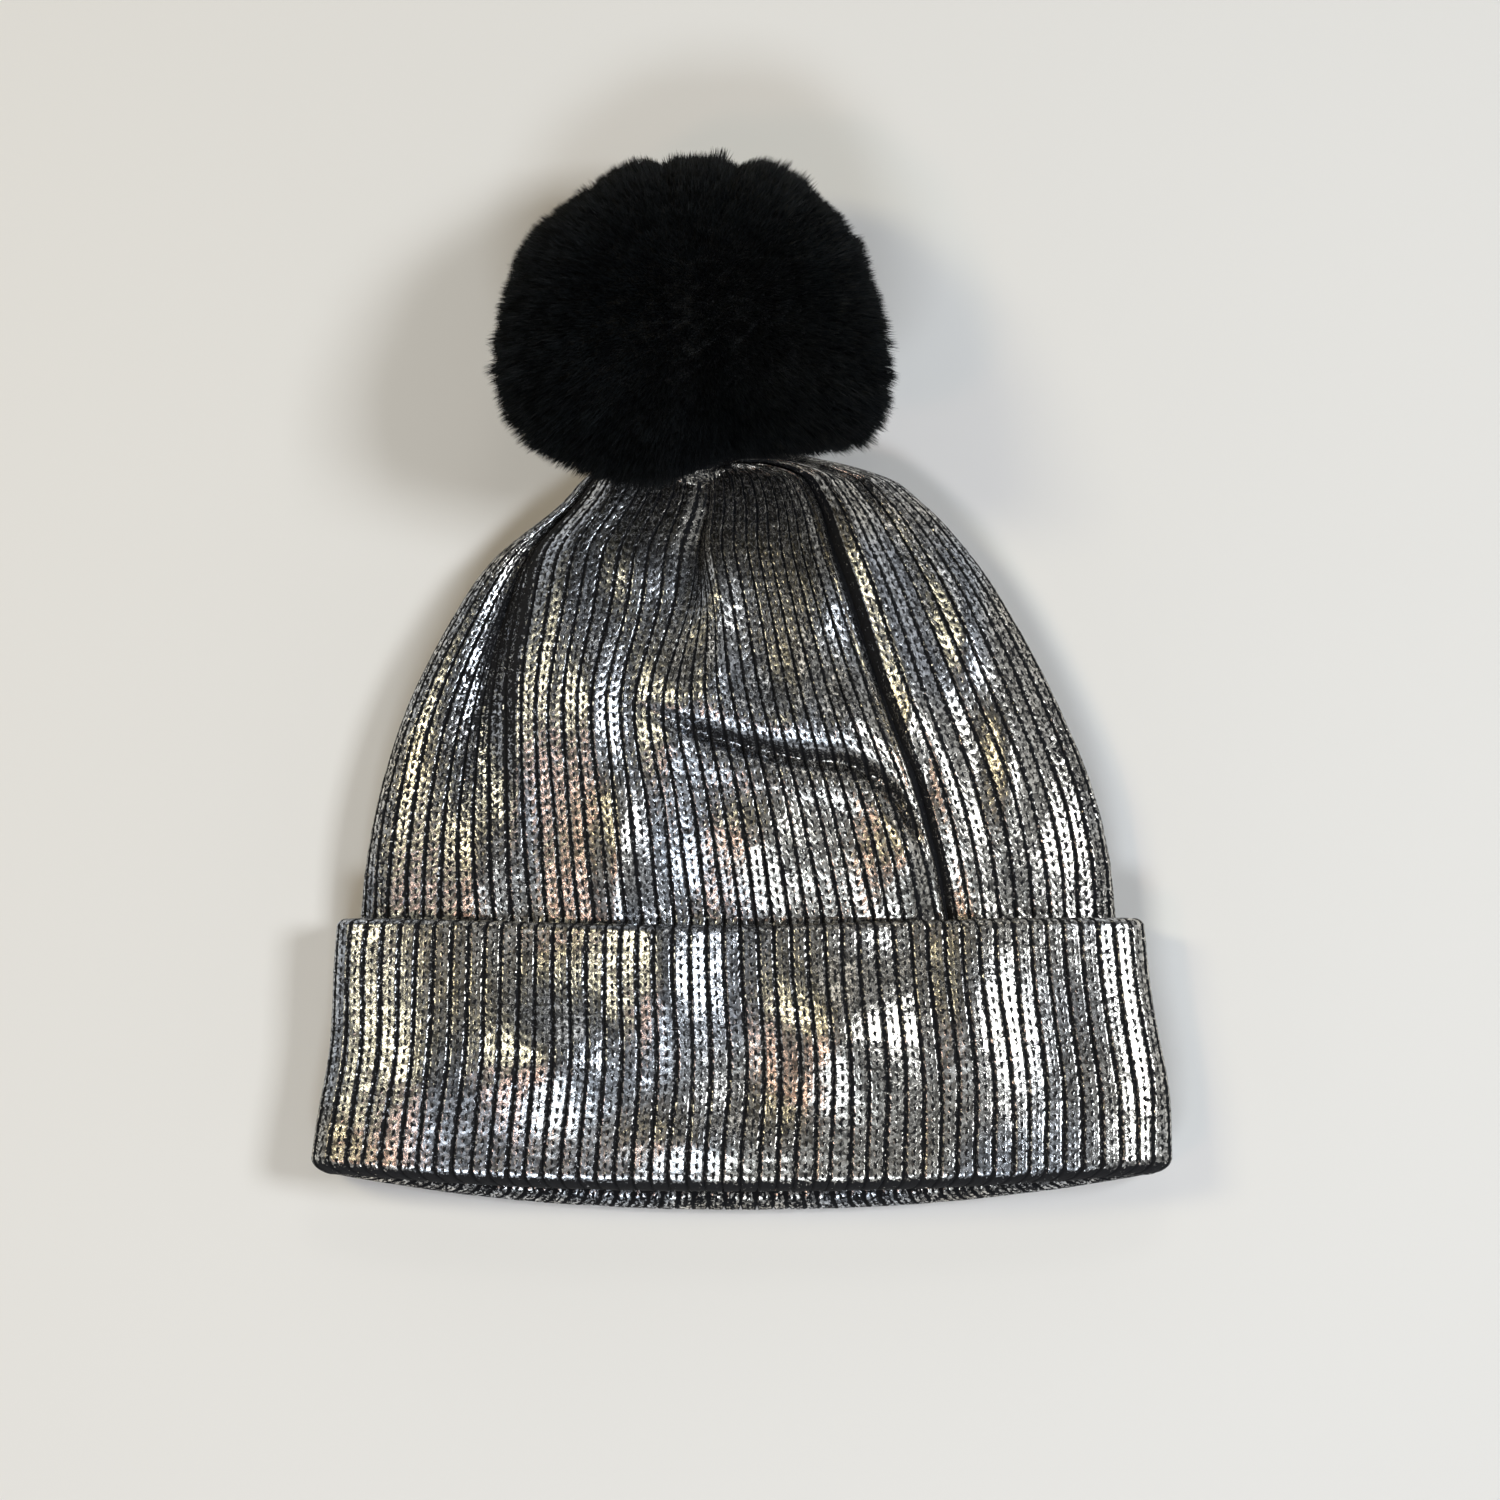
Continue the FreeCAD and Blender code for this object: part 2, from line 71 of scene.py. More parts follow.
RIB_COUNT = 52                # ribs across the front, and as many across the back
STITCH = 2.65 * MM            # one course of the knit
CUFF_HEIGHT = CUFF_HIGH[1] - CUFF_LOW[1]
CUFF_THICK = CUFF_HIGH[2] - 0.2 * MM
CUFF_HALF = CUFF_HIGH[0]
CUFF_TOP_HALF = 111.0 * MM
STACK = 10.0 * MM             # four plies of knit at the cuff
CUFF_POWER = 6.0              # how square the flattened cuff's ends are
CUFF_SWAY = 1.6 * MM          # how far its middle height stands to the right
CROWN_POWER = 2.7             # how square the flattened crown's sides are
MOUTH_SAG = 5.5 * MM          # how far the middle of the mouth's front edge hangs past its corners
BACK_LIP = 5.4 * MM           # how far the back of the mouth reaches past the front
OFF_TABLE = 0.1 * MM          # nothing is lower than this
TIP_ROOM = 12.5 * MM          # radius of the clear space about the middle of the gathered tip
BACKING_SUNK = 3.9 * MM       # the cuff backing's depth below the cuff's outside
LINING_SUNK = 4.8             # the lining's depth below the crown's outside (mm)
LINING_ROOM = 2.6 * MM        # least room between the lining and the folds over it
# depths of the rib's hollows
CUFF_RELIEF, CROWN_RELIEF, LINING_RELIEF, THIN_RELIEF = 1.25 * MM, 1.2 * MM, 0.9 * MM, 0.7 * MM

# crown stations: distance from the mouth, half width, lowest and highest Z, sideways shift (all mm)
CROWN_STATIONS = np.array([
    [40, 107.0, 5.6, 24.2, -0.3],
    [68, 104.6, 4.6, 25.0, -0.6],
    [86, 103.0, 1.6, 28.4, -0.6],
    [106, 98.8, 0.6, 30.6, -1.0],
    [129, 90.6, 0.6, 31.2, -2.0],
    [151, 79.8, 0.6, 30.0, -2.2],
    [171, 67.0, 0.7, 27.4, -1.8],
    [187, 50.6, 1.0, 23.8, 0.4],
    [198, 39.0, 2.4, 20.6, -2.6],
    [207, 24.0, 5.0, 17.0, -10.6],
])


def ease(low, high, value):
    """Rises smoothly from 0 at low to 1 at high."""
    ramp = np.clip((value - low) / (high - low), 0.0, 1.0)
    return ramp * ramp * (3 - 2 * ramp)


def smooth_curve(knots, values, where):
    """A smooth curve through the knots, with each slope the mean of its two chords."""
    knots, values, where = (np.asarray(row, dtype=float) for row in (knots, values, where))
    chords = np.diff(values) / np.diff(knots)
    slopes = np.concatenate([[chords[0]], (chords[1:] + chords[:-1]) / 2, [chords[-1]]])
    index = np.clip(np.searchsorted(knots, where, side="right") - 1, 0, len(knots) - 2)
    width = knots[index + 1] - knots[index]
    part = np.clip((where - knots[index]) / width, -0.5, 1.5)
    square, cube = part**2, part**3
    level = (2 * cube - 3 * square + 1) * values[index] + (3 * square - 2 * cube) * values[index + 1]
    bend = (cube - 2 * square + part) * slopes[index] + (cube - square) * slopes[index + 1]
    return level + bend * width


def bump(value, middle, width):
    """A bell of height 1 and of this width about the middle."""
    return np.exp(-((value - middle) / width) ** 2)


def value_noise(first, second, seed):
    """Smooth noise from -1 to 1 on a grid of unit cells, repeated after 63 cells."""
    cells = np.random.default_rng(seed).uniform(-1, 1, (64, 64))
    i, j = np.floor(first).astype(int), np.floor(second).astype(int)
    u, v = first - i, second - j
    u, v = u * u * (3 - 2 * u), v * v * (3 - 2 * v)
    i, j = i % 63, j % 63
    return ((cells[i, j] * (1 - u) + cells[i + 1, j] * u) * (1 - v)
            + (cells[i, j + 1] * (1 - u) + cells[i + 1, j + 1] * u) * v)


def unit(vectors):
    """The same directions, each of length 1."""
    return vectors / np.linalg.norm(vectors, axis=-1, keepdims=True)


def about_axis(turn):
    """Directions about the pompom's axis, at these turns from straight across."""
    return np.cos(turn)[..., None] * ACROSS + np.sin(turn)[..., None] * BACKWARD


# -------- meshes

def grid_quads(rows, columns):
    """The four corners of each cell in a grid of points."""
    corner = (np.arange(rows - 1)[:, None] * columns + np.arange(columns - 1)[None, :]).reshape(-1)
    return np.stack([corner, corner + 1, corner + columns + 1, corner + columns], axis=1)


def new_mesh(name, points, loops, starts):
    """A mesh from its points, the points at its faces' corners, and each face's first corner."""
    mesh = bpy.data.meshes.new(name)
    mesh.vertices.add(points.size // 3)
    mesh.vertices.foreach_set("co", points.reshape(-1).astype(np.float32))
    mesh.loops.add(loops.size)
    mesh.loops.foreach_set("vertex_index", loops.reshape(-1).astype(np.int32))
    mesh.polygons.add(starts.size)
    mesh.polygons.foreach_set("loop_start", starts.reshape(-1).astype(np.int32))
    mesh.update(calc_edges=True)
    return mesh


def add_uv(mesh, name, uv, corners):
    layer = mesh.uv_layers.new(name=name)
    layer.data.foreach_set("uv", uv.reshape(-1, 2)[corners].reshape(-1).astype(np.float32))


def add_values(mesh, name, values):
    """One number per point, which the materials read by its name."""
    layer = mesh.attributes.new(name, "FLOAT", "POINT")
    layer.data.foreach_set("value", values.reshape(-1).astype(np.float32))


def new_object(name, data):
    thing = bpy.data.objects.new(name, data)
    bpy.context.scene.collection.objects.link(thing)
    return thing


# -------- knit

STITCH_SLANT = 2.2            # courses that a stitch's leg drops over one rib


def knit_relief(rib, course, turn=1.0):
    """Height from 0 to 1 of a 1x1 rib: a raised column of V stitches and the hollow beside it.

    rib and course count ribs and stitches; turn is -1 where the knit is turned up, so that the Vs hang."""
    across = np.abs(rib - np.floor(rib) - 0.5)
    lobe = np.abs(np.sin(np.pi * (course - turn * STITCH_SLANT * across)))
    crest = 1 - ease(0.40, 0.49, across - 0.03 * (lobe - 0.5))
    pit = (1 - ease(0.0, 0.12, across)) * (1 - lobe)
    return crest * (0.94 + 0.06 * lobe - 0.12 * pit)


def rib_columns(first, last, per_rib):
    """Where the columns of points lie, in ribs: closer together towards each rib's edges."""
    part = np.linspace(-1, 1, per_rib, endpoint=False)
    offset = 0.5 + 0.5 * np.sign(part) * np.abs(part) ** 0.55
    return np.append((np.arange(first, last)[:, None] + offset[None, :]).reshape(-1), last)


def smooth_quads(name, points, quads):
    mesh = new_mesh(name, points, quads, np.arange(len(quads)) * 4)
    mesh.polygons.foreach_set("use_smooth", np.ones(len(quads), dtype=bool))
    return mesh


def grid_piece(name, points, knit_uv, foil, shift=FROM_MOUTH):
    """A mesh from a grid of points, with the knit's own UVs, a plain UV layer and a foil amount per point,
    which also carries painted shade.
    """
    rows, columns = points.shape[:2]
    quads = grid_quads(rows, columns)
    mesh = smooth_quads(name, points + shift, quads)
    margin = 0.004
    sides = (np.linspace(margin, 1 - margin, count) for count in (columns, rows))
    add_uv(mesh, "Knit", knit_uv, quads.reshape(-1))
    add_uv(mesh, "OFBake", np.stack(np.meshgrid(*sides), axis=-1), quads.reshape(-1))
    add_values(mesh, "foil", foil)
    mesh.validate()
    return new_object(name, mesh)


def plain_piece(name, points):
    """A grid of points in the frame that has no knit and no foil."""
    blank = np.zeros(points.shape[:2])
    return grid_piece(name, points, np.stack([blank, blank], axis=-1), blank, IN_FRAME)


def knit_layout(rib, course):
    """The knit's UVs, rib and course, with the small wanderings of real ribs."""
    knit_uv = np.stack(np.broadcast_arrays(rib, course), axis=-1).astype(float)
    drift = value_noise(knit_uv[..., 0] * 0.9, knit_uv[..., 1] * 0.11, 21)
    slack = value_noise(knit_uv[..., 0] * 0.6, knit_uv[..., 1] * 0.2, 22)
    knit_uv[..., 0] += 0.10 * drift
    knit_uv[..., 1] += 0.25 * slack
    return knit_uv


def grid_normals(points):
    """Unit normals of a grid of points, from its own differences."""
    across = np.gradient(points, axis=1)
    along = np.gradient(points, axis=0)
    normals = np.cross(across, along)
    return normals / np.maximum(np.linalg.norm(normals, axis=2, keepdims=True), 1e-12)


def raise_knit(points, knit_uv, depth, outward, turn=1.0, relief=1.0):
    """Presses the rib's hollows in from the outer surface, ruffles it, and keeps it off the table."""
    normals = grid_normals(points) * outward
    height = knit_relief(knit_uv[..., 0], knit_uv[..., 1], turn)
    ruffle = 0.07 * value_noise(knit_uv[..., 0] * 1.7, knit_uv[..., 1] * 0.9, 5)
    raised = points + normals * ((height - 1 + ruffle * height) * depth * relief)[..., None]
    raised[..., 2] = np.maximum(raised[..., 2], OFF_TABLE)
    return raised


def black_piece(name, points, rib, course, depth, outward):
    """A grid of points as knit that has no foil."""
    knit_uv = knit_layout(rib[None, :], course[:, None])
    points = raise_knit(points, knit_uv, depth, outward=outward)
    return grid_piece(name, points, knit_uv, np.zeros(points.shape[:2]))


# -------- the flattened tubes

def oval_path(fraction, half, low, high, shift, power):
    """Points (x, z) over the top of a flattened oval, at fractions of its length from its left side."""
    turn = np.linspace(math.pi, 0, 400)
    x = np.sign(np.cos(turn)) * np.abs(np.cos(turn)) ** (2 / power)
    z = np.abs(np.sin(turn)) ** (2 / power)
    middle, tall = (low + high) / 2, (high - low) / 2
    x, z = shift + x * half, middle + z * tall
    length = np.concatenate([[0], np.cumsum(np.hypot(np.diff(x), np.diff(z)))])
    return np.interp(fraction, length / length[-1], x), np.interp(fraction, length / length[-1], z)


# ---- cuff

def cuff_row(step):
    """Half width of the cuff at a distance from the mouth."""
    return smooth_curve([0, 20 * MM, 38 * MM, 70 * MM],
                        [CUFF_HALF, CUFF_HALF - 1.6 * MM, 113.6 * MM, CUFF_TOP_HALF], step)


def cuff_profile(rows):
    """The way of the cuff's ply, seen from the side: distance from the mouth and depth below its outside.

    It starts inside the turned top edge, goes over it, down the outside, round the lip and back inside."""
    top, lip, tuck, back = 2.2 * MM, STACK / 2, 7 * MM, 17 * MM
    inner = np.linspace(0, 1, rows["tuck"], endpoint=False)
    turn = np.linspace(0, math.pi, rows["top"], endpoint=False)
    down = np.linspace(0, 1, rows["outside"], endpoint=False)
    fold = np.linspace(0, math.pi, rows["lip"], endpoint=False)
    inside = np.linspace(0, 1, rows["inside"])
    step = [CUFF_HEIGHT - top - tuck * (1 - inner),
            CUFF_HEIGHT - top + top * np.sin(turn),
            CUFF_HEIGHT - top + (lip - CUFF_HEIGHT + top) * down,
            lip - lip * 0.8 * np.sin(fold),
            lip + back * inside]
    depth = [np.full_like(inner, 2 * top), top + top * np.cos(turn), np.zeros_like(down),
             lip - lip * np.cos(fold), np.full_like(inside, 2 * lip)]
    return np.concatenate(step), np.concatenate(depth)


CUFF_SWELLS = [
    # x, distance from the mouth, height, size across, size along (mm)
    (-21, 54, 4.8, 12, 24), (-52, 30, 5.2, 17, 14), (26, 38, 6.2, 17, 18), (-88, 24, 2.6, 13, 18),
    (2, 24, -2.0, 13, 16), (-58, 60, -2.2, 15, 14), (62, 42, 2.4, 9, 18), (46, 64, -1.8, 14, 10),
    (84, 34, -1.7, 12, 24), (-8, 9, 2.2, 22, 7),
]


def cuff_rows(fraction, step, depth, side):
    """Rows of points over the cuff's front or back, each row at its own depth below the outside."""
    points = np.zeros((len(step), len(fraction), 3))
    for row, (y, sunk) in enumerate(zip(step, depth)):
        x, z = oval_path(fraction, cuff_row(max(y, 0)) - sunk, sunk, CUFF_THICK - sunk, 0.0, CUFF_POWER)
        points[row] = np.stack([x, np.full_like(x, y), z], axis=1)
    if side < 0:
        points[..., 2] = CUFF_THICK - points[..., 2]
    return points


def shape_cuff(points, side, depth):
    """The mouth's edge hangs lower in the middle, and its back lower still; the front swells and dips."""
    middle = 1 - np.clip(np.abs(points[..., 0]) / CUFF_HALF, 0, 1) ** 2.2
    near_mouth = 1 - ease(0.0, CUFF_HEIGHT * 0.75, points[..., 1])
    reach = MOUTH_SAG + (BACK_LIP if side < 0 else 0)
    points[..., 1] -= middle * near_mouth * reach
    outside = 1 - ease(0, STACK, depth)[:, None]
    if side > 0:
        for x, y, height, wide, long_ in CUFF_SWELLS:
            swell = bump(points[..., 0] / MM, x, wide) * bump(points[..., 1] / MM, y, long_)
            points[..., 2] += swell * height * MM * outside
        # the top edge dips a little between its ends
        upper = ease(0.5, 1, points[..., 1] / CUFF_HEIGHT)
        points[..., 1] -= 2.2 * MM * bump(points[..., 0] / MM, -12, 60) * upper
    points[..., 0] += CUFF_SWAY * bump(points[..., 1] / MM, 28, 20)
    return points


def cuff_foil(points, side, rows):
    """The foil covers the outside and the lip, thins at the sides and fades out on the way inside. It is also
    left off over the turned top edge to just past its crest, which paints a shadow line along the cuff's top
    edge.
    """
    sides = ease(0.90, 1.0, np.abs(points[..., 0]) / CUFF_HALF)
    foil = 1 - 0.22 * sides
    # no foil inside the tuck, as on the real cuff, and none over the top edge to just past its crest, which
    # is a painted shadow line
    foil[:rows["tuck"] + int(0.6 * rows["top"])] = 0.0
    start_lip = rows["tuck"] + rows["top"] + rows["outside"]
    start_inside = start_lip + rows["lip"]
    kept_inside = 0.0 if side > 0 else 0.62
    fading = (0.06, 0.22) if side > 0 else (0.40, 0.60)
    foil[start_inside:] = np.linspace(kept_inside, 0.0, rows["inside"])[:, None]
    lost = (1 - kept_inside) * ease(*fading, np.linspace(0, 1, rows["lip"]))
    foil[start_lip:start_inside] *= (1 - lost)[:, None]
    return foil


def cuff_piece(name, side, per_rib, rows):
    """The front or back half of the cuff. side is 1 for the front and -1 for the back."""
    fraction = rib_columns(0, RIB_COUNT, per_rib) / RIB_COUNT
    step, depth = cuff_profile(rows)
    points = cuff_rows(fraction, step, depth, side)
    foil = cuff_foil(points, side, rows)
    points = shape_cuff(points, side, depth)
    travel = np.concatenate([[0], np.cumsum(np.hypot(np.diff(step), np.diff(depth)))])
    knit_uv = knit_layout(fraction[None, :] * RIB_COUNT, travel[:, None] / STITCH)
    points = raise_knit(points, knit_uv, CUFF_RELIEF, turn=-1.0, outward=-side)
    return grid_piece(name, points, knit_uv, foil)


# ---- crown

# How the front's ribs are gathered: for these shares of the ribs, from the left, where they lie across the
# crown, from -1 at its left side to 1 at its right, at rising distances from the mouth (mm)
GATHERED_RIBS = [0.0, 0.055, 0.205, 0.40, 0.50, 0.61, 0.70, 0.79, 1.0]
GATHER = np.array([
    [70, -1, -0.93, -0.56, -0.13, 0.09, 0.34, 0.535, 0.570, 1],
    [100, -1, -0.94, -0.60, -0.17, 0.05, 0.29, 0.485, 0.530, 1],
    [130, -1, -0.95, -0.66, -0.22, 0.00, 0.24, 0.435, 0.485, 1],
    [160, -1, -0.95, -0.75, -0.16, -0.05, 0.20, 0.395, 0.470, 1],
    [187, -1, -0.955, -0.875, -0.20, -0.15, 0.17, 0.375, 0.455, 1],
    [207, -1, -0.955, -0.89, -0.20, -0.15, 0.18, 0.400, 0.480, 1],
])


def crown_sections(wale, along, inset, side):
    """Points over the crown's front or back, inset from its outside, the front's ribs gathered unevenly."""
    station, *columns = CROWN_STATIONS.T
    half, low, high, shift = (smooth_curve(station, column, along) for column in columns)
    half, low, high = half - inset, low + inset, high - inset
    gathered = np.maximum(along, GATHER[0, 0])
    station, *columns = GATHER.T
    gather = np.stack([smooth_curve(station, column, gathered) for column in columns], axis=1)
    even = np.linspace(0, 1, 400)
    points = np.zeros((len(along), len(wale), 3))
    for row, y in enumerate(along):
        place = wale
        if side > 0:
            across = oval_path(even, half[row], low[row], high[row], 0.0, CROWN_POWER)[0]
            place = np.interp(wale, GATHERED_RIBS, np.interp(gather[row] * half[row], across, even))
        x, z = oval_path(place, half[row], low[row], high[row], shift[row], CROWN_POWER)
        points[row] = np.stack([x, np.full_like(x, y), z], axis=1)
    if side < 0:
        points[..., 2] = (low + high)[:, None] - points[..., 2]
    return points * MM


def crown_piece(name, side, first_rib, last_rib, per_rib, row_count):
    """Part of the crown's front or back, between two ribs."""
    rib = rib_columns(first_rib, last_rib, per_rib)
    wale = rib / RIB_COUNT
    along = np.linspace(58, 207, row_count)
    points = crown_sections(wale, along, 0.0, side)
    if side > 0:
        points, foil, relief = crown_folds(points, wale, along)
    else:
        # twelve shallow gathers on each half of the back, deeper towards the tip
        points[..., 2] = np.maximum(points[..., 2], 0.35 * MM)
        folds = 1.1 * MM * np.sin(wale * 24 * math.pi)[None, :] * ease(130, 195, along)[:, None]
        points[..., 2] += np.abs(folds)
        foil = relief = np.ones(points.shape[:2])
    points = close_on_tip(points, wale, side, along)
    knit_uv = knit_layout(rib[None, :], along[:, None] * MM / STITCH)
    points = clear_of_tip(raise_knit(points, knit_uv, CROWN_RELIEF, outward=side, relief=relief))
    return grid_piece(name, points, knit_uv, foil)


def clear_of_tip(points):
    """Leaves the ball in which the tip and its yarn lean from side to side."""
    away = points - TIP_FROM_MOUTH
    reach = np.linalg.norm(away, axis=2, keepdims=True)
    return TIP_FROM_MOUTH + away * np.maximum(1, TIP_ROOM / reach)


# across from the middle, and the height of the cross crease there
CROSS_CREASE = ([-28.0, -6.0, 16.0, 33.0, 44.0, 51.0], [130.0, 121.6, 116.0, 113.3, 105.0, 94.0])

CROWN_SWELLS = [
    # x, distance from the mouth, height, size across, size along (mm)
    (-41, 128, 3.4, 7, 22), (-33, 84, 3.8, 6, 20), (-19, 122, 2.2, 7, 18), (-7, 139, 2.8, 6, 8),
    (-8, 158, 3.2, 6, 14),
    (-55, 92, -2.8, 9, 24), (31, 128, 2.4, 8, 8), (17, 134, 2.8, 6, 12), (45, 84, 4.4, 9, 14),
    (6, 92, 2.2, 11, 11),
    (-14, 78, -1.8, 10, 12), (62, 150, 3.2, 7, 20), (74, 104, 3.2, 7, 26), (86, 120, -2.0, 7, 30),
    (26, 160, 1.8, 10, 12), (-30, 168, 2.2, 8, 14), (-72, 84, 2.6, 9, 16), (58, 80, -1.4, 8, 12),
]

# the ribs between which each pleat lies, as shares of the front
LEFT_PLEAT, MIDDLE_PLEAT, RIGHT_PLEAT = (0.05, 0.205), (0.375, 0.50), (0.70, 0.79)


def within(across, pleat):
    """From 0 at a pleat's first rib to 1 at its last."""
    return np.clip((across - pleat[0]) / (pleat[1] - pleat[0]), 0, 1)


def left_pleat(across, level):
    """A hollow, deepest beside the steep side of a raised band: its rise, slide, the hollow whose lost foil
    is painted shade, and its shut edge.
    """
    inside = within(across, LEFT_PLEAT)
    depth = 0.25 * ease(64, 90, level) + 0.75 * ease(84, 165, level)
    hollow = depth * np.sin(np.pi * inside ** 1.9)
    rise = -9.0 * hollow + 3.2 * depth * bump(across, 0.245, 0.035)
    slide = 2.4 * depth * np.sin(2 * np.pi * inside ** 1.5)
    # the third value, the hollow, also paints shade: less foil there darkens it
    return rise, slide, hollow, depth * bump(across, 0.202, 0.006)


def middle_pleat(across, level):
    """A small pleat that starts halfway up: its rise, slide, and its hollow, whose lost foil is painted
    shade.
    """
    inside = within(across, MIDDLE_PLEAT)
    depth = ease(146, 176, level)
    rise = -6.0 * depth * np.sin(np.pi * inside) ** 1.2
    # the third value paints shade into the pleat's hollow: less foil there darkens it
    return rise, 1.2 * depth * np.sin(2 * np.pi * inside), 0.5 * depth * np.sin(np.pi * inside)


def right_pleat(across, level):
    """It runs all the way down, and its right side laps over the left: its rise, slide and hidden share."""
    inside = within(across, RIGHT_PLEAT)
    depth = 0.55 + 0.45 * ease(80, 150, level)
    left_of_it = np.clip(RIGHT_PLEAT[0] - across, 0, 1)
    rise = -8.0 * np.sin(np.pi * inside) ** 0.8
    rise -= 2.4 * np.exp(-left_of_it / 0.022) * (across <= RIGHT_PLEAT[0])
    rise += 3.4 * bump(across, 0.815, 0.022) - 1.6 * bump(across, 0.868, 0.026)
    hidden = ease(0.02, 0.2, inside) * (1 - ease(0.9, 0.99, inside))
    return rise * depth, 2.2 * depth * np.sin(2 * np.pi * inside), hidden


def cross_crease(across, level, x):
    """The knit above hangs over the crease, and what it covers has little foil: its rise and cover."""
    crease, beyond = (smooth_curve(*CROSS_CREASE, np.clip(x + step, -32, 54)) for step in (0.0, 0.5))
    lean = (beyond - crease) / 0.5
    off = (level - crease) / np.sqrt(1 + lean * lean)
    reach = ease(-32, -2, x) * (1 - ease(45, 52, x))
    shelf = np.where(off > 0, bump(off, 5.0, 9.0), bump(0.0, 5.0, 9.0) * bump(off, 0.0, 1.5))
    rise = 4.4 * shelf - 2.6 * bump(off, -2.6, 1.9) + 1.3 * bump(off, -9.0, 5.0)
    uneven = off + 0.5 * value_noise(across * RIB_COUNT * 1.3, level * 0.21, 31)
    covered = ease(-4.8, -1.8, uneven) * (1 - ease(-1.2, 0.6, uneven))
    return reach * rise, reach * covered


def crown_folds(points, wale, along):
    """The pleats that the gathered end makes, the cross crease and the soft swells of the front, with painted
    shade in the pleats' hollows.

    across counts ribs as a share of the front; heights and distances are in mm."""
    across = np.broadcast_to(wale[None, :], points.shape[:2])
    level = np.broadcast_to(along[:, None], points.shape[:2])
    x = points[..., 0] / MM
    left_rise, left_slide, left_hollow_painted_shade, shut = left_pleat(across, level)
    middle_rise, middle_slide, middle_hollow_painted_shade = middle_pleat(across, level)
    right_rise, right_slide, hidden = right_pleat(across, level)
    crease_rise, covered = cross_crease(across, level, x)
    rise = left_rise + middle_rise + right_rise + crease_rise
    for middle_x, middle_y, height, wide, long_ in CROWN_SWELLS:
        rise += height * bump(x, middle_x, wide) * bump(level, middle_y, long_)
    fade = ease(0.0, 0.05, across) * (1 - ease(0.95, 1.0, across)) * ease(52, 72, level)
    points = points.copy()
    points[..., 2] += rise * fade * MM
    points[..., 0] += (left_slide + middle_slide + right_slide) * MM
    sides = 1 - ease(0.02, 0.10, across) * (1 - ease(0.90, 0.98, across))
    # the hollows' share of the lost foil is painted shade
    lost = hidden + 0.25 * sides + 0.55 * covered + 0.75 * np.clip(left_hollow_painted_shade + middle_hollow_painted_shade, 0, 1) + shut
    return points, np.clip(1 - lost, 0, 1), 1 - 0.8 * hidden


def close_on_tip(points, wale, side, along):
    """Bends the last rows round into the opening that the gathered tip stands in."""
    turn = side * math.pi * (1 - wale)
    ring = TIP_FROM_MOUTH + TIP_ROOM * about_axis(turn) + POM_AXIS * 1.0 * MM
    share = ease(192, 207, along)[:, None, None]
    return points * (1 - share) + ring[None, :, :] * share


# ---- cuff backing and lining

def backing_piece(name, side, per_rib, row_count):
    """The inner ply of the turned-up band, between the cuff's outer ply and the crown."""
    fraction = np.linspace(0, 1, RIB_COUNT * per_rib + 1)
    margin = 5 * MM
    along = np.linspace(margin, CUFF_HEIGHT - margin, row_count)
    points = cuff_rows(fraction, along, np.full(row_count, BACKING_SUNK), side)
    return black_piece(name, points, fraction * RIB_COUNT, along / STITCH, THIN_RELIEF, side)


def kept_under(points, cover, room):
    """Lowers a ply wherever the one that covers it, anywhere near, would come closer than room."""
    near = np.linspace(-5, 5, 11) * MM
    rim = 10 * MM
    for row in range(len(points)):
        order = np.argsort(cover[row, :, 0])
        x, z = cover[row, order, 0], cover[row, order, 2]
        inner = np.clip(points[row, :, 0], x[0] + rim, x[-1] - rim)
        roof = np.min([np.interp(inner + step, x, z) for step in near], axis=0)
        points[row, :, 2] = np.minimum(points[row, :, 2], roof - room)
    return points


def into_mouth(points, wale, along, side):
    """Widens the lining's first rows to lie just inside the cuff's plies."""
    mouth = (1 - ease(20, 64, along))[:, None]
    stack, thick = STACK / MM, CUFF_THICK / MM
    for row in np.flatnonzero(mouth[:, 0]):
        half = cuff_row(along[row] * MM) / MM - stack
        x, z = oval_path(wale, half, stack, thick - stack, 0.0, CUFF_POWER)
        z = z if side > 0 else thick - z
        points[row, :, 0] = (1 - mouth[row]) * points[row, :, 0] + mouth[row] * x * MM
        points[row, :, 2] = (1 - mouth[row]) * points[row, :, 2] + mouth[row] * z * MM
    return points


def lining_piece(name, side, per_rib, row_count):
    """The inner tube: it starts inside the cuff's folded lip and closes short of the crown's end."""
    wale = np.linspace(0, 1, RIB_COUNT * per_rib + 1)
    along = np.linspace(20, 186, row_count)
    in_crown = np.maximum(along, 64)
    points = crown_sections(wale, in_crown, LINING_SUNK, side)
    points[..., 1] = along[:, None] * MM
    if side > 0:
        points = crown_folds(points, wale, along)[0]
    points = into_mouth(points, wale, along, side)
    if side > 0:
        cover = crown_folds(crown_sections(wale, in_crown, 0.0, side), wale, in_crown)[0]
        points = kept_under(points, cover, LINING_ROOM)
    level = CUFF_THICK * 0.42
    close = 1 - 0.9 * ease(176, 186, along)[:, None] ** 2
    points[..., 2] = level + (points[..., 2] - level) * close
    return black_piece(name, points, wale * RIB_COUNT, along * MM / STITCH, LINING_RELIEF, -side)


# -------- gathered tip and yarns

